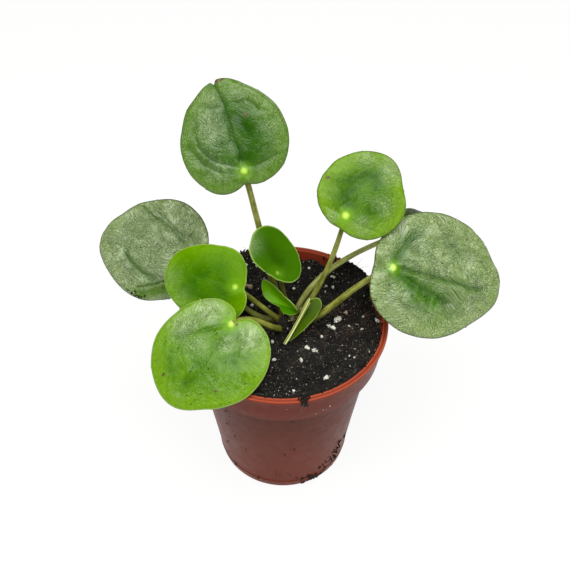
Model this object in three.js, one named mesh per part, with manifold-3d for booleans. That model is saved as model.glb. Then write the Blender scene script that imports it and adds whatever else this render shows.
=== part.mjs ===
// A young potted pilea: round leaves, each held near its middle by a long stalk, on one short stem that
// stands in peat in a tapered plastic nursery pot. Millimetres, +Z up. The origin is the middle of the
// pot's flat base, and -Y is the front.
import * as THREE from "three";
import { mergeVertices } from "three/addons/utils/BufferGeometryUtils.js";
import Module from "manifold-3d";

const wasm = await Module();
wasm.setup();

// Pot
const POT_HEIGHT = 86;
const LIP_RADIUS = 45;
const LIP_WIDTH = 2.4;
const LIP_DEPTH = 1.6;
const COLLAR_FOOT = 70.5; // height of the collar's lower edge
const COLLAR_RADIUS = 42.5; // at that edge
const BODY_TOP_RADIUS = 39; // just under the collar
const BODY_FOOT_RADIUS = 31.2;
const BASE_RADIUS = 29.2; // where the rounded bottom edge meets the ground
const STEP_HEIGHT = 6; // top of the thicker foot band
const WALL = 1.4;
const FLOOR = 1.5;
const REST_RADIUS = 21; // flat disc under the middle
const GROOVE_RADIUS = 27; // outer edge of the raised ring round that disc
const GROOVE_RISE = 2.6;
const DRAIN_COUNT = 8;
const DRAIN_RADIUS = 2.5;
const DRAIN_CIRCLE = 24.2;

// Soil
const SOIL_LEVEL = 81; // round the stem
const SOIL_FRONT_RISE = 3; // it reaches the lip at the front and lies lower at the back
const GAP = 0.3; // between neighbouring pieces

// Stem
const STEM_X = 3.5;
const STEM_Y = 2;
const STEM_RADIUS = 4;
const STEM_TOP = 86.8;
const STEM_DEPTH = 25; // how far it reaches below the soil's level

// Leaves
const BLADE_THICKNESS = 0.9;
const FOLD_ROUNDING = 1.5; // half width of a folded leaf's rounded midrib
const ROLL_START = 0.6; // share of the way to the margin where a rolled edge begins

// joint  where the stalk meets the blade
// face   the way the upper side looks: azimuth from +X, then elevation, in degrees
// turn   how far the tip is swung to the left of straight up the blade
// reach  from the joint to the margin, every 22.5 degrees from the tip, anticlockwise seen from above
// dome   how far the margin lies below the blade's middle, of which middle and half give the place
//        along the midrib and the half width; a negative dome is a cup
// fold   how far each half is folded up about the midrib, in degrees
// notch  where the margin is drawn in: direction, depth as a share of the reach, half width
// roll   where the margin curls down: direction, depth, half width
// stalk  its radius, where it leaves the stem, and the two points that bend it on the way
const LEAVES = {
  top: {
    joint: [-15, 19, 150], face: [-96, 38], turn: 20, dome: 2, middle: 14, half: 22,
    reach: [37, 33.5, 29, 24, 19, 15, 10, 6.5, 7, 7, 9, 12.5, 17.5, 22.5, 28, 32.5],
    notch: [178, 0.25, 16],
    stalk: { radius: 1.1, from: [-0.3, 5.4, 84], bends: [[-6.5, 13.5, 104], [-10, 19.5, 124]] },
  },
  right_high: {
    joint: [25.5, 15.5, 130], face: [-82, 44], turn: -47, dome: 1.6, middle: 12, half: 18,
    reach: [30.5, 28, 24, 19.5, 15.5, 11.5, 8.5, 7, 6, 6, 7.5, 10.5, 15, 20, 25, 27],
    stalk: { radius: 1, from: [7.6, 4.9, 84], bends: [[16.5, 8, 95.5], [22.5, 15, 111]] },
  },
  right_low: {
    joint: [45, 3, 113], face: [-72, 50], turn: -116, dome: 2.5, middle: 19, half: 27,
    reach: [48.5, 43.5, 37.5, 29, 22, 15, 11.5, 9, 8, 9, 11.5, 16, 21, 27.5, 34.5, 41],
    stalk: { radius: 1.1, from: [8.3, 0.2, 82.5], bends: [[16.5, -3.5, 87.5], [28, 6, 100.5]] },
  },
  right_back: {
    joint: [58.5, 37, 104], face: [14, 67], turn: -173, dome: 1.6, middle: 9, half: 17,
    reach: [26, 25, 21, 17.5, 14, 11, 9, 8, 7.5, 8, 9, 11, 14, 17.5, 21, 25],
    stalk: { radius: 1.1, from: [5.6, 6.7, 82.5], bends: [[14, 20, 96.5], [35.5, 32, 97]] },
  },
  centre: {
    joint: [-2, 1, 112], face: [-40, 45], turn: -18, dome: -1, middle: 7, half: 12,
    reach: [20, 18, 13.5, 6.5, 4, 3, 3, 3, 3.5, 5, 8, 10.5, 12, 13.5, 15.5, 18.5],
    stalk: { radius: 0.8, from: [2.6, 6.8, 85], bends: [[-1, 11, 92.5], [0.5, 5.5, 102]] },
  },
  left_back: {
    joint: [-40, 18, 101], face: [-108, 52], turn: 66, dome: 2, middle: 17, half: 24,
    reach: [39.5, 44.5, 37, 29.5, 20, 14.5, 11, 8, 6.5, 6.5, 7, 8.5, 13.5, 20, 27.5, 33.5],
    roll: [92, 2, 38],
    stalk: { radius: 1, from: [-1.5, 2.9, 82.5], bends: [[-14.5, 0.5, 80], [-25, 16, 91.5]] },
  },
  left_middle: {
    joint: [-19.5, -2, 107], face: [-112, 45], turn: 104, dome: 1.6, middle: 13, half: 18,
    reach: [31.5, 26, 21, 17, 13.5, 10, 7, 4.5, 4, 5, 6.5, 10.5, 15, 18.5, 24.5, 31.5],
    stalk: { radius: 1, from: [-1.2, 0.3, 84], bends: [[-6, -0.5, 90], [-12.5, 0.5, 97]] },
  },
  left_front: {
    joint: [-20.5, -19.5, 104], face: [-108, 55], turn: 157, dome: 2.5, middle: 17, half: 24,
    reach: [40.5, 35, 31, 25.5, 20, 14.5, 9.5, 5.5, 3, 5.5, 8.5, 12.5, 17.5, 23.5, 32, 38],
    notch: [163, 0.55, 11],
    stalk: { radius: 1.1, from: [0.6, -2.2, 82.5], bends: [[-4, -10, 86], [-11.5, -7, 98.5]] },
  },
  young_curled: {
    joint: [1, 1, 93.5], face: [-125, 22], turn: 70, dome: 0.6, middle: 5, half: 9, fold: 38,
    reach: [14.5, 11, 6, 3.5, 3.5, 4.5, 5, 6, 6.5, 6.5, 6, 5.5, 5, 5, 8, 11.5],
    stalk: { radius: 0.7, from: [2.2, 3.4, 87.2], bends: [[2, 3.5, 89], [2, 3, 91]] },
  },
  young_folded: {
    joint: [9.5, -3, 94], face: [-56, 26], turn: 126, dome: 0.6, middle: 4, half: 10, fold: 35,
    reach: [15.5, 10, 7, 6, 6, 6.5, 8, 8, 5.5, 5, 4.5, 3.5, 2.5, 2, 3, 7.5],
    stalk: { radius: 0.7, from: [5.6, 0, 87], bends: [[5.5, 0, 89], [7.5, -1, 91]] },
  },
};

// Fineness
const POT_SIDES = 48;
const SOIL_SIDES = 40;
const STEM_SIDES = 16;
const DRAIN_SIDES = 12;
const BLADE_SPOKES = 32;
const BLADE_RINGS = 4;
const STALK_SIDES = 8;
const STALK_STEPS = 12;

const FULL_TURN = 2 * Math.PI;
const radians = THREE.MathUtils.degToRad;

const material = (color, roughness) => new THREE.MeshStandardMaterial({ color, roughness, metalness: 0 });
const FINISH = {
  pot: material("#a34a35", 0.45),
  soil: material("#241c18", 0.95),
  stem: material("#6b6a35", 0.7),
  stalk: material("#7f8a3c", 0.5),
  oldBlade: material("#4c8238", 0.4),
  youngBlade: material("#5fa01c", 0.4),
};

function namedMesh(name, geometry, finish) {
  const mesh = new THREE.Mesh(geometry, finish);
  mesh.name = name;
  return mesh;
}

// Boolean cuts work on solids, so a geometry goes over with its positions merged and comes back the same way.
function toSolid(geometry) {
  const bare = geometry.clone();
  bare.deleteAttribute("normal");
  bare.deleteAttribute("uv");
  const merged = mergeVertices(bare, 1e-4);
  const vertProperties = new Float32Array(merged.attributes.position.array);
  const triVerts = new Uint32Array(merged.index.array);
  return new wasm.Manifold(new wasm.Mesh({ numProp: 3, vertProperties, triVerts }));
}

function toGeometry(solid) {
  const cut = solid.getMesh();
  const geometry = new THREE.BufferGeometry();
  geometry.setAttribute("position", new THREE.BufferAttribute(cut.vertProperties, 3));
  geometry.setIndex(new THREE.BufferAttribute(cut.triVerts, 1));
  return geometry;
}

function lathe(profile, sides) {
  const points = profile.map(([radius, height]) => new THREE.Vector2(radius, height));
  return new THREE.LatheGeometry(points, sides).rotateX(Math.PI / 2);
}

function uprightCylinder(radius, bottom, top, sides) {
  const height = top - bottom;
  return new THREE.CylinderGeometry(radius, radius, height, sides)
    .rotateX(Math.PI / 2)
    .translate(0, 0, bottom + height / 2);
}

// Radius of the pot's inner wall where it is filled with soil, at the heights that shape it.
const INNER_SHOULDER = COLLAR_FOOT - 0.5;
const INNER_COLLAR_FOOT = COLLAR_FOOT + WALL;
const LIP_FOOT = POT_HEIGHT - LIP_DEPTH;
const FLOOR_TOP = GROOVE_RISE + FLOOR;
const INNER_WALL = [
  [BASE_RADIUS - WALL + 0.6, FLOOR_TOP],
  [BODY_FOOT_RADIUS - WALL, STEP_HEIGHT + WALL],
  [BODY_TOP_RADIUS - WALL, INNER_SHOULDER],
  [COLLAR_RADIUS - WALL, INNER_COLLAR_FOOT],
  [LIP_RADIUS - LIP_WIDTH - 0.6, LIP_FOOT - WALL],
  [LIP_RADIUS - LIP_WIDTH, POT_HEIGHT - 0.4],
];

// The pot is turned about Z: up the outside, over the lip and down the inside. Its underside is a flat
// disc, a raised ring with the drainage holes, and a foot that stands level with the disc.
function makePot() {
  const underside = [
    [0, 0],
    [REST_RADIUS, 0],
    [REST_RADIUS + 0.6, GROOVE_RISE],
    [GROOVE_RADIUS, GROOVE_RISE],
    [GROOVE_RADIUS + 0.6, 0],
  ];
  const outside = [
    [BASE_RADIUS, 0],
    [BASE_RADIUS + 1.1, 1.2],
    [BODY_FOOT_RADIUS - 0.2, STEP_HEIGHT - 0.5],
    [BODY_FOOT_RADIUS - 0.4, STEP_HEIGHT],
    [BODY_TOP_RADIUS, COLLAR_FOOT],
    [COLLAR_RADIUS, COLLAR_FOOT],
    [LIP_RADIUS - 0.7, LIP_FOOT - 0.2],
    [LIP_RADIUS, LIP_FOOT],
    [LIP_RADIUS, POT_HEIGHT - 0.4],
    [LIP_RADIUS - 0.5, POT_HEIGHT],
  ];
  const inside = [
    [LIP_RADIUS - LIP_WIDTH + 0.4, POT_HEIGHT],
    ...INNER_WALL.toReversed(),
    [REST_RADIUS + 0.4, FLOOR_TOP],
    [REST_RADIUS - 0.8, FLOOR],
    [0, FLOOR],
  ];
  const drain = uprightCylinder(DRAIN_RADIUS, GROOVE_RISE - 1, FLOOR_TOP + 1, DRAIN_SIDES);
  let pot = toSolid(lathe([...underside, ...outside, ...inside], POT_SIDES));
  for (let i = 0; i < DRAIN_COUNT; i++) {
    const angle = (FULL_TURN * (i + 0.5)) / DRAIN_COUNT;
    const place = [DRAIN_CIRCLE * Math.cos(angle), DRAIN_CIRCLE * Math.sin(angle), 0];
    pot = pot.subtract(toSolid(drain.clone().translate(...place)));
  }
  return namedMesh("pot", toGeometry(pot), FINISH.pot);
}

// Height of the soil's face: level round the stem, up to the lip at the front, lower at the back,
// heaped against the rim at the back left and the back right, with low waves all over.
function soilHeight(x, y) {
  const radius = Math.hypot(x, y);
  const angle = Math.atan2(y, x);
  const share = radius / (LIP_RADIUS - LIP_WIDTH);
  const slope = -SOIL_FRONT_RISE * (y / LIP_RADIUS) * share;
  const heapLeft = Math.exp(-(((angle - radians(113)) / radians(16)) ** 2));
  const heapRight = Math.exp(-(((angle - radians(38)) / radians(13)) ** 2));
  const heaps = (7.5 * heapLeft + 6.5 * heapRight) * share ** 6;
  const waves = 0.5 * Math.sin(0.31 * x + 1.2) * Math.cos(0.27 * y - 0.4) + 0.35 * Math.sin(0.52 * (x - y) + 2);
  const nearStem = Math.exp(-(((x - STEM_X) ** 2 + (y - STEM_Y) ** 2) / 9 ** 2));
  return SOIL_LEVEL - 0.8 * nearStem + slope + heaps + waves * (1 - nearStem);
}

// The soil fills the pot: a turned body whose top rings are lifted to the face's height, with a plain
// hole for the stem.
function makeSoil() {
  const side = INNER_WALL.map(([radius, height]) => [radius - GAP - 0.15, height]);
  const bottom = [
    [0, FLOOR + GAP],
    [REST_RADIUS - 1.2, FLOOR + GAP],
    [REST_RADIUS, FLOOR_TOP + GAP],
    [side[0][0] - 0.5, FLOOR_TOP + GAP],
    [side[1][0], side[1][1]],
    [side[2][0], side[2][1]],
    [side[3][0] - 0.3, side[3][1] + 0.5],
  ];
  const edge = LIP_RADIUS - LIP_WIDTH - 1.1;
  const topRings = [1, 0.95, 0.85, 0.72, 0.58, 0.44, 0.3, 0.15];
  const face = [...topRings.map((share) => [edge * share, POT_HEIGHT]), [0, POT_HEIGHT]];
  const geometry = lathe([...bottom, ...face], SOIL_SIDES);
  const position = geometry.attributes.position;
  for (let i = 0; i < position.count; i++) {
    if (position.getZ(i) < POT_HEIGHT - 0.01) continue;
    position.setZ(i, soilHeight(position.getX(i), position.getY(i)));
  }
  const hole = uprightCylinder(STEM_RADIUS + GAP, SOIL_LEVEL - STEM_DEPTH - GAP, POT_HEIGHT + 5, STEM_SIDES);
  const soil = toSolid(geometry).subtract(toSolid(hole.translate(STEM_X, STEM_Y, 0)));
  return namedMesh("soil", toGeometry(soil), FINISH.soil);
}

// A short upright stem with a rounded growing tip.
function makeStem() {
  const foot = SOIL_LEVEL - STEM_DEPTH;
  const profile = [
    [0, foot],
    [STEM_RADIUS - 1, foot],
    [STEM_RADIUS - 0.2, foot + 1.5],
    [STEM_RADIUS, SOIL_LEVEL],
    [STEM_RADIUS - 0.1, STEM_TOP - 3.4],
    [STEM_RADIUS - 0.8, STEM_TOP - 1.4],
    [STEM_RADIUS - 2.2, STEM_TOP - 0.3],
    [0, STEM_TOP],
  ];
  const mesh = namedMesh("stem", lathe(profile, STEM_SIDES), FINISH.stem);
  mesh.position.set(STEM_X, STEM_Y, 0);
  return mesh;
}

// The blade's own axes: along the midrib to the tip, to the left of it, and out of the upper side.
function bladeAxes({ face, turn }) {
  const azimuth = radians(face[0]);
  const elevation = radians(face[1]);
  const flat = new THREE.Vector3(Math.cos(azimuth), Math.sin(azimuth), 0);
  const above = flat.clone().multiplyScalar(Math.cos(elevation)).setZ(Math.sin(elevation));
  const uphill = flat.clone().multiplyScalar(-Math.sin(elevation)).setZ(Math.cos(elevation));
  const tip = uphill.applyAxisAngle(above, radians(turn));
  const left = above.clone().cross(tip);
  return { tip, left, above };
}

// Signed difference between an angle and a direction given in degrees, within half a turn.
function angleFrom(angle, degrees) {
  return THREE.MathUtils.euclideanModulo(angle - radians(degrees) + Math.PI, FULL_TURN) - Math.PI;
}

function bell(angle, degrees, halfWidth) {
  return Math.exp(-((angleFrom(angle, degrees) / radians(halfWidth)) ** 2));
}

// Distance from the joint to the margin: a smooth closed curve through the reaches, less the notch.
function marginAt({ reach, notch }, angle) {
  const count = reach.length;
  const place = THREE.MathUtils.euclideanModulo((angle / FULL_TURN) * count, count);
  const first = Math.floor(place);
  const t = place - first;
  const [a, b, c, d] = [-1, 0, 1, 2].map((step) => reach[(first + step + count) % count]);
  const smooth = b + 0.5 * t * (c - a + t * (2 * a - 5 * b + 4 * c - d + t * (3 * (b - c) + d - a)));
  return notch ? smooth * (1 - notch[1] * bell(angle, notch[0], notch[2])) : smooth;
}

// A point of the upper side: share is 0 at the joint and 1 on the margin, and angle is from the tip.
function upperPoint(leaf, axes, share, angle) {
  const distance = share * marginAt(leaf, angle);
  const along = distance * Math.cos(angle);
  const across = distance * Math.sin(angle);
  const { dome, middle, half, fold = 0, roll } = leaf;
  const spread = ((along - middle) ** 2 + across ** 2 - middle ** 2) / half ** 2;
  let rise = -dome * spread;
  rise += Math.sin(radians(fold)) * (Math.hypot(across, FOLD_ROUNDING) - FOLD_ROUNDING);
  if (roll) {
    const curl = THREE.MathUtils.clamp((share - ROLL_START) / (1 - ROLL_START), 0, 1) ** 2;
    rise -= roll[1] * bell(angle, roll[0], roll[2]) * curl;
  }
  return new THREE.Vector3(...leaf.joint)
    .addScaledVector(axes.tip, along)
    .addScaledVector(axes.left, across * Math.cos(radians(fold)))
    .addScaledVector(axes.above, rise);
}

// The upper side's normal, from two short steps along it.
function upperNormal(leaf, axes, share, angle) {
  if (share === 0) return axes.above.clone();
  const step = 0.02;
  const outward = upperPoint(leaf, axes, share, angle).sub(upperPoint(leaf, axes, share - step, angle));
  const round = upperPoint(leaf, axes, share, angle + step).sub(upperPoint(leaf, axes, share, angle - step));
  return outward.cross(round).normalize();
}

// A blade of even thickness: the upper side is a web of spokes and rings about the joint, the lower
// side is the same web moved in by the thickness, and a strip along the margin joins them.
function makeBlade(name, leaf, finish) {
  const axes = bladeAxes(leaf);
  const upper = [];
  const lower = [];
  const addPoint = (share, angle) => {
    const point = upperPoint(leaf, axes, share, angle);
    upper.push(point);
    lower.push(point.clone().addScaledVector(upperNormal(leaf, axes, share, angle), -BLADE_THICKNESS));
  };
  addPoint(0, 0);
  for (let ring = 1; ring <= BLADE_RINGS; ring++)
    for (let spoke = 0; spoke < BLADE_SPOKES; spoke++)
      addPoint(ring / BLADE_RINGS, (FULL_TURN * spoke) / BLADE_SPOKES);

  const at = (ring, spoke) => (ring === 0 ? 0 : 1 + (ring - 1) * BLADE_SPOKES + (spoke % BLADE_SPOKES));
  const web = [];
  for (let spoke = 0; spoke < BLADE_SPOKES; spoke++) {
    web.push([0, at(1, spoke), at(1, spoke + 1)]);
    for (let ring = 1; ring < BLADE_RINGS; ring++) {
      web.push([at(ring, spoke), at(ring + 1, spoke), at(ring + 1, spoke + 1)]);
      web.push([at(ring, spoke), at(ring + 1, spoke + 1), at(ring, spoke + 1)]);
    }
  }
  const below = upper.length;
  const triangles = [...web, ...web.map(([a, b, c]) => [below + a, below + c, below + b])];
  for (let spoke = 0; spoke < BLADE_SPOKES; spoke++) {
    const [a, b] = [at(BLADE_RINGS, spoke), at(BLADE_RINGS, spoke + 1)];
    triangles.push([a, below + a, b], [b, below + a, below + b]);
  }
  const geometry = new THREE.BufferGeometry().setFromPoints([...upper, ...lower]);
  geometry.setIndex(triangles.flat());
  geometry.computeVertexNormals();
  return namedMesh(name, geometry, finish);
}

// A round stalk from the stem to just under the blade, square to its own path at both ends.
function makeStalk(name, leaf) {
  const { radius, from, bends } = leaf.stalk;
  const { above } = bladeAxes(leaf);
  const joint = new THREE.Vector3(...leaf.joint);
  const [lift, lean] = bends.map((bend) => new THREE.Vector3(...bend));
  const lastWay = joint.clone().sub(lean).normalize();
  const slant = Math.sqrt(1 - lastWay.dot(above) ** 2);
  const end = joint.addScaledVector(above, -(BLADE_THICKNESS + GAP + radius * slant));
  const path = new THREE.CubicBezierCurve3(new THREE.Vector3(...from), lift, lean, end);
  const corners = Array.from({ length: STALK_SIDES }, (_, i) => {
    const angle = (FULL_TURN * i) / STALK_SIDES;
    return new THREE.Vector2(radius * Math.cos(angle), radius * Math.sin(angle));
  });
  const section = new THREE.Shape(corners);
  const geometry = new THREE.ExtrudeGeometry(section, { extrudePath: path, steps: STALK_STEPS });
  return namedMesh(name, geometry, FINISH.stalk);
}

const YOUNG = ["right_high", "centre", "left_middle", "left_front", "young_curled", "young_folded"];

const plant = new THREE.Group();
plant.add(makePot(), makeSoil(), makeStem());
for (const [place, leaf] of Object.entries(LEAVES)) {
  const finish = YOUNG.includes(place) ? FINISH.youngBlade : FINISH.oldBlade;
  plant.add(makeStalk(`stalk_${place}`, leaf), makeBlade(`blade_${place}`, leaf, finish));
}

export default plant;
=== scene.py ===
"""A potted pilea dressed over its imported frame: waxy, finely wrinkled round leaves on tapered stalks, a
short stem with papery stipules, crumbly peat with perlite and root fibres, and a thin plastic nursery pot.

Sizes are millimetres until a mesh is made. +Z is up, and the photograph is taken from -Y. Each leaf is worked
out in its own plane: along runs from the joint to the tip, across runs to the left of that, and above points
out of the upper side."""
import math

import bpy
import numpy as np
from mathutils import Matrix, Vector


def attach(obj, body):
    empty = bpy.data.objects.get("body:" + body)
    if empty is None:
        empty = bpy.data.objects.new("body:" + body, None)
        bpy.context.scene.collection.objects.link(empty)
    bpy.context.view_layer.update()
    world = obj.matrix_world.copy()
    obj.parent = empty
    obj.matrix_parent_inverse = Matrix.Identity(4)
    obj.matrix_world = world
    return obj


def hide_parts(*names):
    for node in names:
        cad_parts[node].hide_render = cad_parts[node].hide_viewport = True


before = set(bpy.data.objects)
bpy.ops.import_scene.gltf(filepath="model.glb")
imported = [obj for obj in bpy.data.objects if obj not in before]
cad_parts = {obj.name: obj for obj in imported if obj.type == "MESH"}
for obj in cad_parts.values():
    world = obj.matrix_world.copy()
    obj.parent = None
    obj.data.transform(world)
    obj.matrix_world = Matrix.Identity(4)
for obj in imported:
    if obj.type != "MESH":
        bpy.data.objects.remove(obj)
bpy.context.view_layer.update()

MM = 0.001
FULL_TURN = 2 * math.pi

# Pot, as in the frame
POT_HEIGHT = 86
LIP_RADIUS = 45
LIP_WIDTH = 2.4
LIP_DEPTH = 1.6
COLLAR_FOOT = 70.5
COLLAR_RADIUS = 42.5
BODY_TOP_RADIUS = 39
BODY_FOOT_RADIUS = 31.2
BASE_RADIUS = 29.2
STEP_HEIGHT = 6
WALL = 1.4
FLOOR = 1.5
REST_RADIUS = 21
GROOVE_RADIUS = 27
GROOVE_RISE = 2.6
DRAIN_COUNT = 8
DRAIN_RADIUS = 2.5
DRAIN_CIRCLE = 24.2
LIP_INSIDE = LIP_RADIUS - LIP_WIDTH
LIP_FOOT = POT_HEIGHT - LIP_DEPTH
FLOOR_TOP = GROOVE_RISE + FLOOR

# Soil and stem, as in the frame
SOIL_LEVEL = 81
SOIL_FRONT_RISE = 3
STEM_PLACE = (3.5, 2.0)
STEM_RADIUS = 4
STEM_TOP = 86.8

# Leaves, as in the frame, but for the blades' thickness, which is the living one. joint: where stalk and
# blade meet. face: azimuth and height of what the upper side looks at. turn: the tip's, from uphill. dome:
# how far the blade falls at half from its middle, which lies that far along. reach: joint to margin in
# sixteen directions. stalk: its foot, and two points that bend its curve. radii: the stalk's, at foot and
# top. notch and roll of the margin: direction, depth, half width. fold: of each side about the midrib.
# Angles are degrees.
LIVING_THICKNESS = 0.65
RIB_SPACING = 1.5
FOLD_ROUNDING = 1.5
ROLL_START = 0.6
LEAVES = {
    "top": dict(
        joint=(-15, 19, 150), face=(-96, 38), turn=20, dome=2, middle=14, half=22,
        reach=(37, 33.5, 29, 24, 19, 15, 10, 6.5, 7, 7, 9, 12.5, 17.5, 22.5, 28, 32.5),
        notch=(178, 0.25, 16),
        stalk=((-0.3, 5.4, 84), (-6.5, 13.5, 104), (-10, 19.5, 124)), radii=(1.6, 1.15),
    ),
    "right_high": dict(
        joint=(25.5, 15.5, 130), face=(-82, 44), turn=-47, dome=1.6, middle=12, half=18,
        reach=(30.5, 28, 24, 19.5, 15.5, 11.5, 8.5, 7, 6, 6, 7.5, 10.5, 15, 20, 25, 27),
        stalk=((7.6, 4.9, 84), (16.5, 8, 95.5), (22.5, 15, 111)), radii=(1.3, 1.0),
    ),
    "right_low": dict(
        joint=(45, 3, 113), face=(-72, 50), turn=-116, dome=2.5, middle=19, half=27,
        reach=(48.5, 43.5, 37.5, 29, 22, 15, 11.5, 9, 8, 9, 11.5, 16, 21, 27.5, 34.5, 41),
        stalk=((8.3, 0.2, 82.5), (16.5, -3.5, 87.5), (28, 6, 100.5)), radii=(1.6, 1.15),
    ),
    "right_back": dict(
        joint=(58.5, 37, 104), face=(14, 67), turn=-173, dome=1.6, middle=9, half=17,
        reach=(26, 25, 21, 17.5, 14, 11, 9, 8, 7.5, 8, 9, 11, 14, 17.5, 21, 25),
        stalk=((5.6, 6.7, 82.5), (14, 20, 96.5), (35.5, 32, 97)), radii=(1.35, 1.1),
    ),
    "centre": dict(
        joint=(-2, 1, 112), face=(-40, 45), turn=-18, dome=-1, middle=7, half=12,
        reach=(20, 18, 13.5, 6.5, 4, 3, 3, 3, 3.5, 5, 8, 10.5, 12, 13.5, 15.5, 18.5),
        stalk=((2.6, 6.8, 85), (-1, 11, 92.5), (0.5, 5.5, 102)), radii=(1.1, 0.85),
    ),
    "left_back": dict(
        joint=(-40, 18, 101), face=(-108, 52), turn=66, dome=2, middle=17, half=24,
        reach=(39.5, 44.5, 37, 29.5, 20, 14.5, 11, 8, 6.5, 6.5, 7, 8.5, 13.5, 20, 27.5, 33.5),
        roll=(92, 2, 38),
        stalk=((-1.5, 2.9, 82.5), (-14.5, 0.5, 80), (-25, 16, 91.5)), radii=(1.3, 1.1),
    ),
    "left_middle": dict(
        joint=(-19.5, -2, 107), face=(-112, 45), turn=104, dome=1.6, middle=13, half=18,
        reach=(31.5, 26, 21, 17, 13.5, 10, 7, 4.5, 4, 5, 6.5, 10.5, 15, 18.5, 24.5, 31.5),
        stalk=((-1.2, 0.3, 84), (-6, -0.5, 90), (-12.5, 0.5, 97)), radii=(1.3, 1.0),
    ),
    "left_front": dict(
        joint=(-20.5, -19.5, 104), face=(-108, 55), turn=157, dome=2.5, middle=17, half=24,
        reach=(40.5, 35, 31, 25.5, 20, 14.5, 9.5, 5.5, 3, 5.5, 8.5, 12.5, 17.5, 23.5, 32, 38),
        notch=(163, 0.55, 11),
        stalk=((0.6, -2.2, 82.5), (-4, -10, 86), (-11.5, -7, 98.5)), radii=(1.6, 1.1),
    ),
    "young_curled": dict(
        joint=(1, 1, 93.5), face=(-125, 22), turn=70, dome=0.6, middle=5, half=9, fold=38,
        reach=(14.5, 11, 6, 3.5, 3.5, 4.5, 5, 6, 6.5, 6.5, 6, 5.5, 5, 5, 8, 11.5),
        stalk=((2.2, 3.4, 87.2), (2, 3.5, 89), (2, 3, 91)), radii=(1.0, 0.8),
    ),
    "young_folded": dict(
        joint=(9.5, -3, 94), face=(-56, 26), turn=126, dome=0.6, middle=4, half=10, fold=35,
        reach=(15.5, 10, 7, 6, 6, 6.5, 8, 8, 5.5, 5, 4.5, 3.5, 2.5, 2, 3, 7.5),
        stalk=((5.6, 0, 87), (5.5, 0, 89), (7.5, -1, 91)), radii=(1.0, 0.8),
    ),
}

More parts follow.
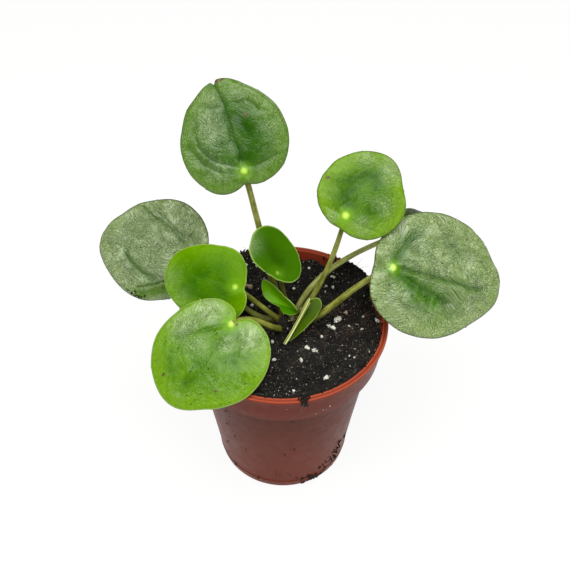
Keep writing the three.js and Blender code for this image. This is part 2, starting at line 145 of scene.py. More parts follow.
# What marks each blade. grain: the wrinkles' direction. wrinkle: their height. least_bloom_and_sheen: the
# least of the grey below. creases: depth (raised if negative), half width, and the line's points, along and
# across; each sunk one is also darkened with painted shade. bloom_and_sheen: where a grey shows that is
# partly
# wax bloom and partly painted sheen: strength, radius, along, across. bare: where that grey is taken
# off as painted shade along a valley: share, half width, line. scars: radius, along, across. nicks in the
# margin: direction, depth, half width. straight: the line that a folded leaf ends on. bent_back: the line
# past which a blade bends back, and the slope there; the part beyond is darkened with painted shade. Angles
# are degrees.
MARKS = {
    "top": dict(
        grain=80, wrinkle=0.16, least_bloom_and_sheen=0.25,
        creases=(
            (0.8, 1.5, ((0, 0), (7.6, 0.1), (13.4, 0.6), (19.5, 0.3), (25.8, 0.4), (31, 1.2), (35, 2.3))),
            (0.7, 4.5, ((4, -3), (9, -5), (15, -5), (21, -4))),
            (0.3, 0.6, ((34.5, -6), (29.3, -12), (24.8, -16.2), (19.3, -19.2), (14, -20.3), (8.5, -20.2))),
            (0.5, 0.8, ((1.8, 1.9), (3.7, 4.8), (5.6, 9), (9.5, 12.5), (13.7, 14.8), (18.2, 14.7),
                        (21.7, 13))),
            (0.5, 1.2, ((1, -1.9), (0.6, -4.6), (1.4, -9.4), (2.6, -14.2))),
            (0.5, 0.7, ((25.5, -5.3), (26.1, -8.3), (24, -10.5), (21, -12))),
            (0.4, 0.7, ((27.6, 8.1), (26.4, 5.5), (26.1, 2.1))),
            (0.5, 1.5, ((14.1, 18.3), (7.6, 15.5), (2.5, 10))),
            (0.4, 0.8, ((-1.4, 0.7), (-5, 2.2))),
        ),
        bloom_and_sheen=((0.85, 7, 20, 8), (0.6, 6, 29, 4), (0.45, 6, 29, -8), (0.4, 6, 13, -14), (0.6, 6, 3, 10)),
        bare=((0.9, 5.5, ((4, -3.5), (10, -6), (17, -6))),),
        scars=((0.9, 20.5, -7), (1.5, 36.2, 0.6), (1.4, 36.4, -0.9)), nicks=((3.3, 1.4, 1.1),),
    ),
    "right_high": dict(
        grain=20, wrinkle=0.12, least_bloom_and_sheen=0.1,
        creases=(
            (0.65, 5, ((1, 2), (6, 6), (10, 7), (15.5, 5), (21, 2.5))),
            (0.25, 0.5, ((1, 1), (1.5, 3.8), (5.1, 3.1))),
            (0.3, 0.6, ((-0.4, -1), (0.6, -6.4), (3.2, -12.8))),
            (0.3, 0.7, ((-1, 1.5), (-1.6, 5.6), (-2.6, 9.3))),
        ),
        bloom_and_sheen=((0.7, 6, 27, -2), (0.5, 5, 24, 9), (0.55, 3, -4, 4), (0.4, 5, 1, -8), (0.4, 5, 13, -9)),
        scars=((1.3, 6.5, 15.8),),
    ),
    "right_low": dict(
        grain=5, wrinkle=0.16, least_bloom_and_sheen=0.68,
        creases=(
            (0.9, 1.2, ((2, 0.3), (6, 0.2), (13.5, 0.1), (21, -0.3), (27.5, -0.6), (34, -0.8), (40, -0.2))),
            (-0.4, 1.0, ((6, -1.8), (13.7, -2.4), (21.3, -2.7), (28, -3.3), (34.5, -3.2))),
            (0.9, 2.5, ((0.6, 2.3), (1.8, 6.7), (4, 12), (7, 16.4))),
            (0.9, 2.2, ((2.8, -1.5), (6.8, -3.6), (13.3, -6), (20, -7.6), (25.5, -9.5))),
            (0.4, 0.8, ((-1.5, -0.9), (-4.8, -1.9), (-7.7, -1.9))),
            (0.4, 0.8, ((15, 11.8), (20, 14.7), (25, 14.2), (29, 10.2))),
            (0.35, 0.7, ((20.5, 10), (24.2, 11.2), (27, 9))),
            (0.3, 0.8, ((10, -10), (13.6, -12.8), (17.2, -15))),
        ),
        bloom_and_sheen=((1.0, 7, 20, 10), (1.0, 8, 30, 7), (0.8, 7, 38, 0), (0.7, 6, -3, 6)),
        bare=((0.6, 3.4, ((1, 3), (3, 7), (5, 12))), (1.0, 5.0, ((3, -2), (8, -6), (14, -9), (19, -10)))),
        scars=(),
    ),
    "right_back": dict(grain=0, wrinkle=0.1, least_bloom_and_sheen=0.1, creases=((0.5, 1, ((0, 0), (10, 0), (20, 0))),),
                       bloom_and_sheen=(), scars=()),
    "centre": dict(
        grain=90, wrinkle=0.03, least_bloom_and_sheen=0.0,
        creases=(
            (0.1, 0.8, ((0.7, 0.9), (4.3, 0.8), (8.4, 0.2), (12.3, -1.4))),
            (0.08, 0.8, ((0.4, -0.2), (3.5, -4.8), (6.2, -8))),
            (0.08, 0.7, ((0.2, 1.8), (2.2, 3.5), (4, 5))),
        ),
        bloom_and_sheen=((0.5, 4, 14, 7),), scars=(),
    ),
    "left_back": dict(
        grain=40, wrinkle=0.16, least_bloom_and_sheen=0.68,
        creases=(
            (0.9, 0.5, ((13, 22.5), (7.6, 17), (3.5, 11.5))),
            (0.8, 0.9, ((32.7, -6.9), (27.6, -6.1), (22, -6.9), (17.3, -7.2), (12.6, -6.4), (7.6, -5.4))),
            (0.5, 0.7, ((26, -9.3), (21.2, -8.7), (15.6, -8.1), (9.2, -7.3))),
            (-0.5, 0.6, ((26, 17.3), (20.3, 18.5), (13.8, 19.2))),
            (0.9, 2.0, ((27, 14), (22, 15.8), (15.7, 16.4), (10, 15.2))),
            (0.55, 2.0, ((12, 25), (6, 19.5), (1.5, 13.5))),
            (0.4, 1.2, ((40.5, 17), (33.6, 14), (25.6, 10.8), (17.8, 4.5), (8, 1))),
            (0.4, 3.0, ((33, 3), (28, 3.2))),
            (0.4, 0.8, ((6.5, -7), (7.2, -11.2), (10.3, -13.6))),
        ),
        bloom_and_sheen=((0.75, 9, 22, -4), (0.75, 7, 14, -11), (0.55, 8, 33, 8), (0.45, 7, 20, 8), (0.45, 5, 36, -3)),
        bare=((0.9, 3.4, ((12, 26), (5.5, 20), (1, 14))),), scars=(),
    ),
    "left_middle": dict(
        grain=60, wrinkle=0.05, least_bloom_and_sheen=0.0,
        creases=((0.1, 1.5, ((1, 0), (10.4, -3), (20, -5))),),
        bloom_and_sheen=((0.35, 5, 29, -3), (0.3, 5, 24, 5)), scars=(),
    ),
    "left_front": dict(
        grain=50, wrinkle=0.12, least_bloom_and_sheen=0.05,
        creases=(
            (0.5, 1.0, ((0.5, 0.2), (4.5, -3.9), (9.2, -7.6), (13.8, -11.4), (18, -15))),
            (0.4, 1.6, ((1.5, 0.3), (6.4, 0.6), (10.7, 0.5), (16.3, 0.6), (24.8, 1.4), (33.6, 0.7))),
            (0.3, 1.0, ((0.6, 2.5), (2.6, 5.6), (6.6, 8.8), (12, 11))),
            (-0.4, 1.5, ((5.6, -2.2), (6.5, 2.3))),
            (0.4, 0.5, ((12.8, 17), (16, 18.6))),
        ),
        bloom_and_sheen=((0.8, 6, 1, -12), (0.7, 6, 12, -15), (0.75, 5, 0, 9.5), (0.45, 4, 8, 3), (0.35, 5, 14, -6)),
        scars=((0.9, 32.5, -9.6), (0.8, -1.1, 1.9), (0.8, 30.4, -16.3), (0.6, 24.4, 11.6)),
    ),
    "young_curled": dict(grain=0, wrinkle=0.03, least_bloom_and_sheen=0.0, creases=(), bloom_and_sheen=(), scars=(), thickness=0.5,
                         bent_back=((2.5, 2.6), (-4.6, -1.3), 0.25)),
    # young_folded's crease runs under the margin of its folded-over half: a shallow dip darkened as a painted
    # shadow line.
    "young_folded": dict(
        grain=0, wrinkle=0.03, least_bloom_and_sheen=0.0, creases=((0.45, 0.45, ((15, 1.0), (6, 0.6), (-3.5, 0.1))),),
        bloom_and_sheen=(), scars=(), nicks=((1, -1.3, 4),), thickness=0.45, straight=((16.8, 0.3), (-4.2, -2.5)),
    ),
}


# Numbers and noise

def soft_noise(u, v, cell, seed):
    """Heights of -1 to 1 that are random at the corners of square cells and eased from corner to corner."""
    size = 64
    corners = np.random.default_rng(seed).uniform(-1, 1, (size, size))
    x, y = u / cell, v / cell
    i, j = np.floor(x).astype(int), np.floor(y).astype(int)
    s, t = x - i, y - j
    s, t = s * s * (3 - 2 * s), t * t * (3 - 2 * t)
    i, j, i_next, j_next = i % size, j % size, (i + 1) % size, (j + 1) % size
    near = corners[i, j] * (1 - s) + corners[i_next, j] * s
    far = corners[i, j_next] * (1 - s) + corners[i_next, j_next] * s
    return near * (1 - t) + far * t


def puckers(u, v, cell, seed):
    """Rounded puffs with sharp valleys between them: soft noise without its sign."""
    return 2 * np.abs(soft_noise(u, v, cell, seed)) - 0.6


def angle_from(angle, degrees):
    """Signed difference between an angle and a direction in degrees, within half a turn."""
    return (angle - math.radians(degrees) + math.pi) % FULL_TURN - math.pi


def bell(angle, degrees, half_width):
    """1 in a direction, falling away on both sides of it over the half width, both in degrees."""
    return np.exp(-((angle_from(angle, degrees) / math.radians(half_width)) ** 2))


def line_bell(along, across, points, width):
    """1 on the line through the points, falling away from it on both sides over the given half width, with
    a sharper bottom than a bell's."""
    nearest = np.full(np.shape(along), np.inf)
    for (a, b), (c, d) in zip(points, points[1:]):
        share = ((along - a) * (c - a) + (across - b) * (d - b)) / ((c - a) ** 2 + (d - b) ** 2)
        share = np.clip(share, 0, 1)
        nearest = np.minimum(nearest, np.hypot(along - a - share * (c - a), across - b - share * (d - b)))
    return np.exp(-((nearest / width) ** 1.4))


def unit(vectors):
    """The vectors, each at length 1."""
    return vectors / np.linalg.norm(vectors, axis=-1, keepdims=True)


# Meshes

def make_piece(name, points, faces, material, replaced=(), smooth=True, attributes=None):
    """Puts points in millimetres and their faces into a piece of the root body."""
    mesh = bpy.data.meshes.new(name)
    mesh.from_pydata((np.asarray(points) * MM).tolist(), [], faces)
    for key, values in (attributes or {}).items():
        values = np.asarray(values, np.float32)
        kind = "FLOAT_VECTOR" if values.ndim == 2 else "FLOAT"
        field = "vector" if values.ndim == 2 else "value"
        mesh.attributes.new(key, kind, "POINT").data.foreach_set(field, values.ravel())
    mesh.polygons.foreach_set("use_smooth", np.full(len(mesh.polygons), smooth))
    mesh.materials.append(material)
    mesh.update()
    piece = bpy.data.objects.new(name, mesh)
    bpy.context.scene.collection.objects.link(piece)
    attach(piece, "root")
    if replaced:
        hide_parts(*replaced)
    return piece


def ring_faces(ring_count, side_count, first=0):
    """Quads between rings of points that close on themselves, ring after ring."""
    ring, side = np.meshgrid(np.arange(ring_count - 1), np.arange(side_count), indexing="ij")
    after = (side + 1) % side_count
    corners = [ring * side_count + side, ring * side_count + after,
               (ring + 1) * side_count + after, (ring + 1) * side_count + side]
    return first + np.stack(corners, axis=-1).reshape(-1, 4)


def capped_tube(rings, start, end):
    """Points and faces of a closed form: rings of points, with a point that closes each end."""
    ring_count, side_count = rings.shape[:2]
    points = np.concatenate([rings.reshape(-1, 3), [start], [end]])
    side = np.arange(side_count)
    after = (side + 1) % side_count
    last = (ring_count - 1) * side_count
    start_at = np.full(side_count, ring_count * side_count)
    front = np.stack([after, side, start_at], axis=-1)
    back = np.stack([last + side, last + after, start_at + 1], axis=-1)
    return points, ring_faces(ring_count, side_count).tolist() + front.tolist() + back.tolist()


def turned(profile, sides):
    """Rings of a profile of (radius, height) points turned about the Z axis."""
    angle = np.linspace(0, FULL_TURN, sides, endpoint=False)
    radius, height = np.array(profile, float).T
    return np.stack([radius[:, None] * np.cos(angle), radius[:, None] * np.sin(angle),
                     np.repeat(height[:, None], sides, axis=1)], axis=-1)


def rounded(profile, closeness, steps=5):
    """The profile with its inner corners rounded: each becomes a short curve between points a little way
    along its two sides, which is a parabola with the corner as its control point."""
    points = [np.array(p, float) for p in profile]
    smooth = [points[0]]
    share = np.linspace(0, 1, steps)[:, None]
    for before, corner, after in zip(points, points[1:], points[2:]):
        back, on = before - corner, after - corner
        start = corner + back * min(0.5, closeness / np.linalg.norm(back))
        finish = corner + on * min(0.5, closeness / np.linalg.norm(on))
        smooth.extend((1 - share) ** 2 * start + 2 * share * (1 - share) * corner + share ** 2 * finish)
    smooth.append(points[-1])
    return smooth


# Finishes

def linear(colour):
    """An sRGB hex value as linear red, green, blue and alpha."""
    value = np.array([int(colour[i:i + 2], 16) / 255 for i in (1, 3, 5)])
    value = np.where(value <= 0.04045, value / 12.92, ((value + 0.055) / 1.055) ** 2.4)
    return (*value.tolist(), 1.0)


def add(tree, kind, inputs=(), output=None, **settings):
    """Adds a node with its settings, and sets or links its inputs, which are given by name or number, or in
    order. Gives back the node, or the output that is named or numbered."""
    node = tree.nodes.new(kind)
    for key, value in settings.items():
        setattr(node, key, value)
    for key, value in inputs.items() if isinstance(inputs, dict) else enumerate(inputs):
        if isinstance(value, bpy.types.NodeSocket):
            tree.links.new(value, node.inputs[key])
        else:
            node.inputs[key].default_value = value
    return node if output is None else node.outputs[output]


def new_finish(name):
    """An empty material and its node tree."""
    material = bpy.data.materials.new(name)
    material.use_nodes = True
    material.node_tree.nodes.clear()
    return material, material.node_tree


def coated(tree, colour, coats):
    """The colour under coats that are laid on in turn. A coat has first what its share follows: a value and,
    where they aren't 0 and 1, the ends of the value's range and the shares there. Then come its easing, its
    colour and how it is laid on."""
    for share, easing, tint, mode in coats:
        share = add(tree, "ShaderNodeMapRange", share, 0, interpolation_type=easing)
        colour = add(tree, "ShaderNodeMix", {0: share, 6: colour, 7: tint}, 2, data_type="RGBA",
                     blend_type=mode)
    return colour


def leaf_finish(name, deep, fresh, edge, bloom_and_sheen_grey, rim, underside, grain, wrinkled, pitted, roughness, coat,
                joint_glow, bare_shine=1.0, ribbed=0.0):
    """A living succulent leaf under a thin coat of wax: smooth to the touch, finely wrinkled with age, deep
    green with painted shade in its furrows and creases, fresher towards the margin, and palest where it joins
    the stalk. A grey that is partly wax bloom and partly painted sheen lies on the crests of the wrinkles,
    and the wax gives a broad soft gloss. Lengths are in millimetres."""
    material, tree = new_finish(name)
    plane, veins = (add(tree, "ShaderNodeAttribute", (), "Vector", attribute_name=key)
                    for key in ("leaf_plane", "vein_plane"))
    joint, margin, crease_shade, pucker, bloom_and_sheen, scar, upper = (
        add(tree, "ShaderNodeAttribute", (), "Fac", attribute_name=key)
        for key in ("joint_distance", "margin_distance", "crease_shade", "pucker", "bloom_and_sheen", "scar", "upper"))

    # The skin is a leather of puffed cells about 1.1 mm wide, with furrows between them. In some places they
    # are twice as long, along the midrib, and in others they follow the veins, on lines that wander. The turn
    # by the grain gives each leaf cells of its own.
    stretched = add(tree, "ShaderNodeMapping", {
        "Vector": plane, "Rotation": (0, 0, -math.radians(grain)), "Scale": (0.5, 1.0, 1.0)}, 0)
    wander = add(tree, "ShaderNodeTexNoise", {"Vector": plane, "Scale": 1 / 1.6, "Detail": 2.0}, "Color")
    puffs = []
    for place in (stretched, veins):
        bent = add(tree, "ShaderNodeVectorMath", (wander, (1.3, 1.3, 0), place), 0, operation="MULTIPLY_ADD")
        puffs.append(add(tree, "ShaderNodeTexVoronoi", {
            "Vector": bent, "Scale": 1 / 1.1, "Randomness": 1.0}, "Distance", feature="DISTANCE_TO_EDGE"))
    mottle = add(tree, "ShaderNodeTexNoise", {"Vector": plane, "Scale": 1 / 8, "Detail": 3.0}, "Fac")
    where = add(tree, "ShaderNodeMapRange", (mottle, 0.42, 0.58), 0, interpolation_type="SMOOTHSTEP")
    puff = add(tree, "ShaderNodeMix", {0: where, 2: puffs[0], 3: puffs[1]}, 0, data_type="FLOAT")
    plateau = add(tree, "ShaderNodeMapRange", (puff, 0.0, 0.14), 0)
    pores = add(tree, "ShaderNodeTexNoise", {
        "Vector": plane, "Scale": 1 / 0.75, "Detail": 2.0, "Roughness": 0.6}, "Fac")
    # Dark pits and dashes about 5 mm apart on average, each up to 0.6 mm wide and twice as long
    pits = add(tree, "ShaderNodeTexVoronoi", {
        "Vector": stretched, "Scale": 1 / 2.0, "Randomness": 1.0}, "Distance")

    # The grey of wax bloom and painted sheen shows most on the crests of the puckers and the cells, as a
    # painted highlight there, and less in the pores.
    bloom_and_sheen_share = bloom_and_sheen
    for value, low, high, least in (
            (pucker, -0.4, 0.8, 0.75), (pores, 0.4, 0.6, 0.5), (plateau, 0.0, 1.0, 0.4)):
        kept = add(tree, "ShaderNodeMapRange", (value, low, high, least, 1.0), 0)
        bloom_and_sheen_share = add(tree, "ShaderNodeMath", (bloom_and_sheen_share, kept), 0, operation="MULTIPLY")
    # Painted shade for the furrows between the puckers, with a slight painted highlight on their crests.
    furrow_shade = coated(tree, (0.84, 0.88, 0.75, 1), [
        ((pucker, -0.6, 0.5), "LINEAR", (1.06, 1.06, 1.06, 1), "MIX")])
    dead = coated(tree, linear("#271f12"), [((pores, 0.4, 0.6), "LINEAR", linear("#7f6d4c"), "MIX")])
    colour = coated(tree, linear(deep), (
        ((mottle, 0.35, 0.65), "LINEAR", linear(fresh), "MIX"),
        ((margin, 0.5, 11, 0.75, 0.0), "SMOOTHSTEP", linear(edge), "MIX"),
        # Painted shade in the furrows between the puckers and between the cells, and in the creases.
        ((wrinkled,), "LINEAR", furrow_shade, "MULTIPLY"),
        ((plateau, 0.0, 1.0, 0.5 * wrinkled, 0.0), "LINEAR", (0.42, 0.55, 0.25, 1), "MULTIPLY"),
        ((crease_shade,), "LINEAR", (0.45, 0.62, 0.3, 1), "MULTIPLY"),
        ((bloom_and_sheen_share,), "LINEAR", linear(bloom_and_sheen_grey), "MIX"),
        ((pits, 0.07, 0.17, pitted, 0.0), "LINEAR", linear("#101f06"), "MIX"),
        ((joint, 0.8, 5.0, 0.5 * joint_glow, 0.0), "SMOOTHSTEP", linear("#7dbb16"), "MIX"),
        ((joint, 0.3, 0.8 + 1.3 * joint_glow, joint_glow, 0.0), "SMOOTHSTEP", linear("#cdf266"), "MIX"),
        ((margin, 0.0, 0.35, 0.85, 0.0), "LINEAR", linear(rim), "MIX"),
        ((scar,), "LINEAR", dead, "MIX"),
    ))

    # The underside is paler and, on a leaf that hasn't opened yet, ribbed along its margin.
    ribs = add(tree, "ShaderNodeMath", (margin, FULL_TURN / RIB_SPACING), 0, operation="MULTIPLY")
    ribs = add(tree, "ShaderNodeMath", (ribs,), 0, operation="SINE")
    below = coated(tree, linear(underside), [
        ((ribs, -0.5, 0.5, 0.0, ribbed), "LINEAR", linear("#e2e4a6"), "MIX")])
    colour = coated(tree, below, [((upper,), "LINEAR", colour, "MIX")])

    # The wrinkles are strong in some patches and almost smooth in others.
    domes = add(tree, "ShaderNodeMapRange", (puff, 0.0, 0.35, 0.0, 0.7), 0, interpolation_type="SMOOTHSTEP")
    height = add(tree, "ShaderNodeMath", (pores, 1.3, domes), 0, operation="MULTIPLY_ADD")
    patch = add(tree, "ShaderNodeTexNoise", {"Vector": plane, "Scale": 1 / 5, "Detail": 2.0}, "Fac")
    patch = add(tree, "ShaderNodeMapRange", (patch, 0.36, 0.6, 0.35, 1.0), 0, interpolation_type="SMOOTHSTEP")
    worn = add(tree, "ShaderNodeMapRange", (bloom_and_sheen, 0.0, 0.6, 0.25 * wrinkled, wrinkled), 0)
    worn = add(tree, "ShaderNodeMath", (worn, patch), 0, operation="MULTIPLY")
    bump = add(tree, "ShaderNodeBump", {"Strength": worn, "Distance": 0.6 * MM, "Height": height}, 0)
    gloss = add(tree, "ShaderNodeMapRange", (pores, 0.3, 0.7, roughness - 0.04, roughness + 0.04), 0)
    skin = {"Base Color": colour, "Roughness": gloss, "IOR": 1.5, "Specular IOR Level": coat, "Normal": bump}
    # The skin shines less where the grey of wax bloom and painted sheen is thin, and on the underside.
    if bare_shine < 1:
        shine = add(tree, "ShaderNodeMapRange", (bloom_and_sheen, 0.0, 0.5, bare_shine, 1.0), 0)
        facing = add(tree, "ShaderNodeMapRange", (upper, 0.0, 1.0, 0.3, 1.0), 0)
        skin["Specular Tint"] = add(tree, "ShaderNodeMath", (shine, facing), 0, operation="MULTIPLY")
    add(tree, "ShaderNodeOutputMaterial", (add(tree, "ShaderNodeBsdfPrincipled", skin, 0),))
    return material


def stalk_finish(name, old, lit):
    """A juicy green stalk: smooth skin with lengthwise lines and pale lenticels, softly shining, browner and
    darker towards its old base."""
    material, tree = new_finish(name)
    place = add(tree, "ShaderNodeAttribute", (), "Vector", attribute_name="stalk_place")
    lines = add(tree, "ShaderNodeMapping", {"Vector": place, "Scale": (2.6, 0.12, 1.0)}, 0)
    lines = add(tree, "ShaderNodeTexNoise", {"Vector": lines, "Scale": 1.0, "Detail": 3.0}, "Fac")
    blotch = add(tree, "ShaderNodeTexNoise", {"Vector": place, "Scale": 1 / 6, "Detail": 3.0}, "Fac")
    uneven = add(tree, "ShaderNodeMath", (lines, blotch), 0, operation="ADD")
    from_stem = add(tree, "ShaderNodeSeparateXYZ", (place,), "Y")
    lenticels = add(tree, "ShaderNodeTexVoronoi", {
        "Vector": place, "Scale": 1 / 1.3, "Randomness": 1.0}, "Distance")
    colour = coated(tree, linear(old), (
        ((uneven, 0.8, 1.2), "LINEAR", linear(lit), "MIX"),
        ((from_stem, 1.0, 14.0, 0.75, 0.0), "SMOOTHSTEP", linear("#453d12"), "MIX"),
        ((lenticels, 0.1, 0.22, 0.45, 0.0), "LINEAR", linear("#b9bd78"), "MIX"),
    ))
    bump = add(tree, "ShaderNodeBump", {"Strength": 0.7, "Distance": 0.25 * MM, "Height": lines}, 0)
    shader = add(tree, "ShaderNodeBsdfPrincipled", {
        "Base Color": colour, "Roughness": 0.4, "IOR": 1.42, "Specular IOR Level": 0.35, "Normal": bump}, 0)
    add(tree, "ShaderNodeOutputMaterial", (shader,))
    return material


def pot_finish():
    """Thin injection-moulded polypropylene in terracotta: satin, with a fine moulded grain and a little dust.
    Light that comes through the thin plastic is painted in, lighter low on the wall and at the lip, with
    painted shade in the corner under the lip, a painted highlight on the lip's top edge and painted light on
    the inner side of the collar."""
    material, tree = new_finish("moulded_terracotta_polypropylene")
    place = add(tree, "ShaderNodeTexCoord", (), "Object")
    cloud = add(tree, "ShaderNodeTexNoise", {"Vector": place, "Scale": 45.0, "Detail": 4.0}, "Fac")
    up = add(tree, "ShaderNodeSeparateXYZ", (place,), "Z")
    flat = add(tree, "ShaderNodeVectorMath", (place, (1, 1, 0)), 0, operation="MULTIPLY")
    away = add(tree, "ShaderNodeVectorMath", (flat,), "Value", operation="LENGTH")
    within = add(tree, "ShaderNodeMapRange", (
        away, (COLLAR_RADIUS - 0.1) * MM, (COLLAR_RADIUS + 0.4) * MM, 1.0, 0.0), 0)
    above = add(tree, "ShaderNodeMapRange", (up, (COLLAR_FOOT + 1.5) * MM, (COLLAR_FOOT + 7.5) * MM), 0)
    inside = add(tree, "ShaderNodeMath", (within, above), 0, operation="MULTIPLY")
    # From the foot upwards: the wall, lighter low down with painted light that comes through it, the collar,
    # painted shade in the corner under the lip, the lip's edge painted lighter as light comes through, a
    # painted highlight on its top, and last the inner side of the collar, painted lighter as lit
    colour = coated(tree, linear("#592412"), (
        ((cloud, 0.35, 0.65), "LINEAR", linear("#652815"), "MIX"),
        ((up, 15 * MM, 60 * MM, 0.5, 0.0), "SMOOTHSTEP", linear("#7a3018"), "MIX"),
        ((up, (COLLAR_FOOT - 0.5) * MM, (COLLAR_FOOT + 0.5) * MM), "LINEAR", linear("#692612"), "MIX"),
        ((up, (LIP_FOOT - 1.2) * MM, (LIP_FOOT - 0.2) * MM), "SMOOTHSTEP", linear("#46190f"), "MIX"),
        ((up, (LIP_FOOT - 0.1) * MM, (LIP_FOOT + 0.5) * MM), "LINEAR", linear("#883824"), "MIX"),
        ((up, (POT_HEIGHT - 0.4) * MM, (POT_HEIGHT - 0.1) * MM), "LINEAR", linear("#a84e35"), "MIX"),
        ((inside,), "LINEAR", linear("#a2402a"), "MIX"),
    ))
    grain = add(tree, "ShaderNodeTexNoise", {"Vector": place, "Scale": 2200.0, "Detail": 2.0}, "Fac")
    dust = add(tree, "ShaderNodeTexNoise", {"Vector": place, "Scale": 260.0, "Detail": 4.0}, "Fac")
    gloss = add(tree, "ShaderNodeMapRange", (dust, 0.3, 0.7, 0.34, 0.46), 0)
    bump = add(tree, "ShaderNodeBump", {"Strength": 0.1, "Distance": 0.1 * MM, "Height": grain}, 0)
    shader = add(tree, "ShaderNodeBsdfPrincipled", {
        "Base Color": colour, "Roughness": gloss, "IOR": 1.49, "Specular IOR Level": 0.09, "Normal": bump}, 0)
    add(tree, "ShaderNodeOutputMaterial", (shader,))
    return material


def peat_finish(name, dark, light):
    """Moist sphagnum peat: near black, matt, browner where crumbs are drier."""
    material, tree = new_finish(name)
    place = add(tree, "ShaderNodeTexCoord", (), "Object")
    patch, grain = (
        add(tree, "ShaderNodeTexNoise", {
            "Vector": place, "Scale": scale, "Detail": detail, "Roughness": 0.7}, "Fac")
        for scale, detail in ((90.0, 6.0), (1100.0, 4.0)))
    colour = coated(tree, linear(dark), [((patch, 0.4, 0.65), "LINEAR", linear(light), "MIX")])
    bump = add(tree, "ShaderNodeBump", {"Strength": 0.8, "Distance": 0.6 * MM, "Height": grain}, 0)
    shader = add(tree, "ShaderNodeBsdfPrincipled", {
        "Base Color": colour, "Roughness": 0.85, "IOR": 1.4, "Normal": bump}, 0)
    add(tree, "ShaderNodeOutputMaterial", (shader,))
    return material


def plain_finish(name, first, second, size, roughness, bumpiness):
    """Colour that wavers between two values over the given size, with a bump of the same grain."""
    material, tree = new_finish(name)
    place = add(tree, "ShaderNodeTexCoord", (), "Object")
    grain = add(tree, "ShaderNodeTexNoise", {"Vector": place, "Scale": 1 / (size * MM), "Detail": 4.0}, "Fac")
    colour = coated(tree, linear(first), [((grain, 0.35, 0.65), "LINEAR", linear(second), "MIX")])
    bump = add(tree, "ShaderNodeBump", {"Strength": bumpiness, "Distance": 0.3 * MM, "Height": grain}, 0)
    shader = add(tree, "ShaderNodeBsdfPrincipled", {
        "Base Color": colour, "Roughness": roughness, "Normal": bump}, 0)
    add(tree, "ShaderNodeOutputMaterial", (shader,))
    return material


# Leaves

def leaf_axes(leaf):
    """Unit vectors along the midrib to the tip, to the left of it, and out of the upper side."""
    azimuth, height = (math.radians(degrees) for degrees in leaf["face"])
    flat = np.array([math.cos(azimuth), math.sin(azimuth), 0])
    above = flat * math.cos(height) + np.array([0, 0, math.sin(height)])
    uphill = -flat * math.sin(height) + np.array([0, 0, math.cos(height)])
    turn = math.radians(leaf["turn"])
    tip = math.cos(turn) * uphill + math.sin(turn) * np.cross(above, uphill)
    return tip, np.cross(above, tip), above


def margin_reach(leaf, angle):
    """Distance from the joint to the margin: a smooth closed curve through the reaches, less the notch."""
    reach = np.array(leaf["reach"], float)
    place = (angle / FULL_TURN * len(reach)) % len(reach)
    first = np.floor(place).astype(int)
    t = place - first
    a, b, c, d = (reach[(first + step) % len(reach)] for step in (-1, 0, 1, 2))
    smooth = b + 0.5 * t * (c - a + t * (2 * a - 5 * b + 4 * c - d + t * (3 * (b - c) + d - a)))
    if "notch" in leaf:
        direction, depth, half_width = leaf["notch"]
        smooth = smooth * (1 - depth * bell(angle, direction, half_width))
    return smooth


def worn_reach(leaf, marks, angle, seed):
    """The margin as it is on a living blade: scalloped by a tenth or two of a millimetre, with its nicks."""
    reach = margin_reach(leaf, angle)
    uneven = soft_noise(30 * np.cos(angle), 30 * np.sin(angle), 4.5, seed)
    reach = reach + 0.2 * uneven * np.clip(reach / 10 - 0.5, 0, 1) - 0.1
    for direction, depth, half_width in marks.get("nicks", ()):
        reach = reach - depth * bell(angle, direction, half_width)
    return reach


def blade_point(leaf, along, across, lift=0.0):
    """A point of the upper side. It lies over its place in the leaf's plane by the dome, which falls with the
    square of the distance from the blade's middle, by the fold about the midrib, less the rolled margin."""
    tip, left, above = leaf_axes(leaf)
    middle = leaf["middle"]
    rise = lift - leaf["dome"] * ((along - middle) ** 2 + across ** 2 - middle ** 2) / leaf["half"] ** 2
    fold = math.radians(leaf.get("fold", 0))
    rise = rise + math.sin(fold) * (np.hypot(across, FOLD_ROUNDING) - FOLD_ROUNDING)
    if "roll" in leaf:
        direction, depth, half_width = leaf["roll"]
        angle = np.arctan2(across, along)
        share = np.hypot(along, across) / margin_reach(leaf, angle)
        curl = np.clip((share - ROLL_START) / (1 - ROLL_START), 0, 1) ** 2
        rise = rise - depth * bell(angle, direction, half_width) * curl
    across = across * math.cos(fold)
    return (np.array(leaf["joint"], float) + along[..., None] * tip + across[..., None] * left
            + rise[..., None] * above)


def disc_grid(count):
    """Radius and angle of a square grid bent into a disc whose cells stay about the same size: the radius is
    the larger of |x| and |y|, and the angle runs evenly along each square ring."""
    side = np.linspace(-1, 1, count)
    x, y = np.meshgrid(side, side, indexing="ij")
    wide = np.abs(x) >= np.abs(y)
    with_x = math.pi / 4 * y / x + np.where(x < 0, math.pi, 0)
    with_y = math.pi / 2 - math.pi / 4 * x / y + np.where(y < 0, math.pi, 0)
    return np.maximum(np.abs(x), np.abs(y)), np.where(wide, with_x, with_y) % FULL_TURN


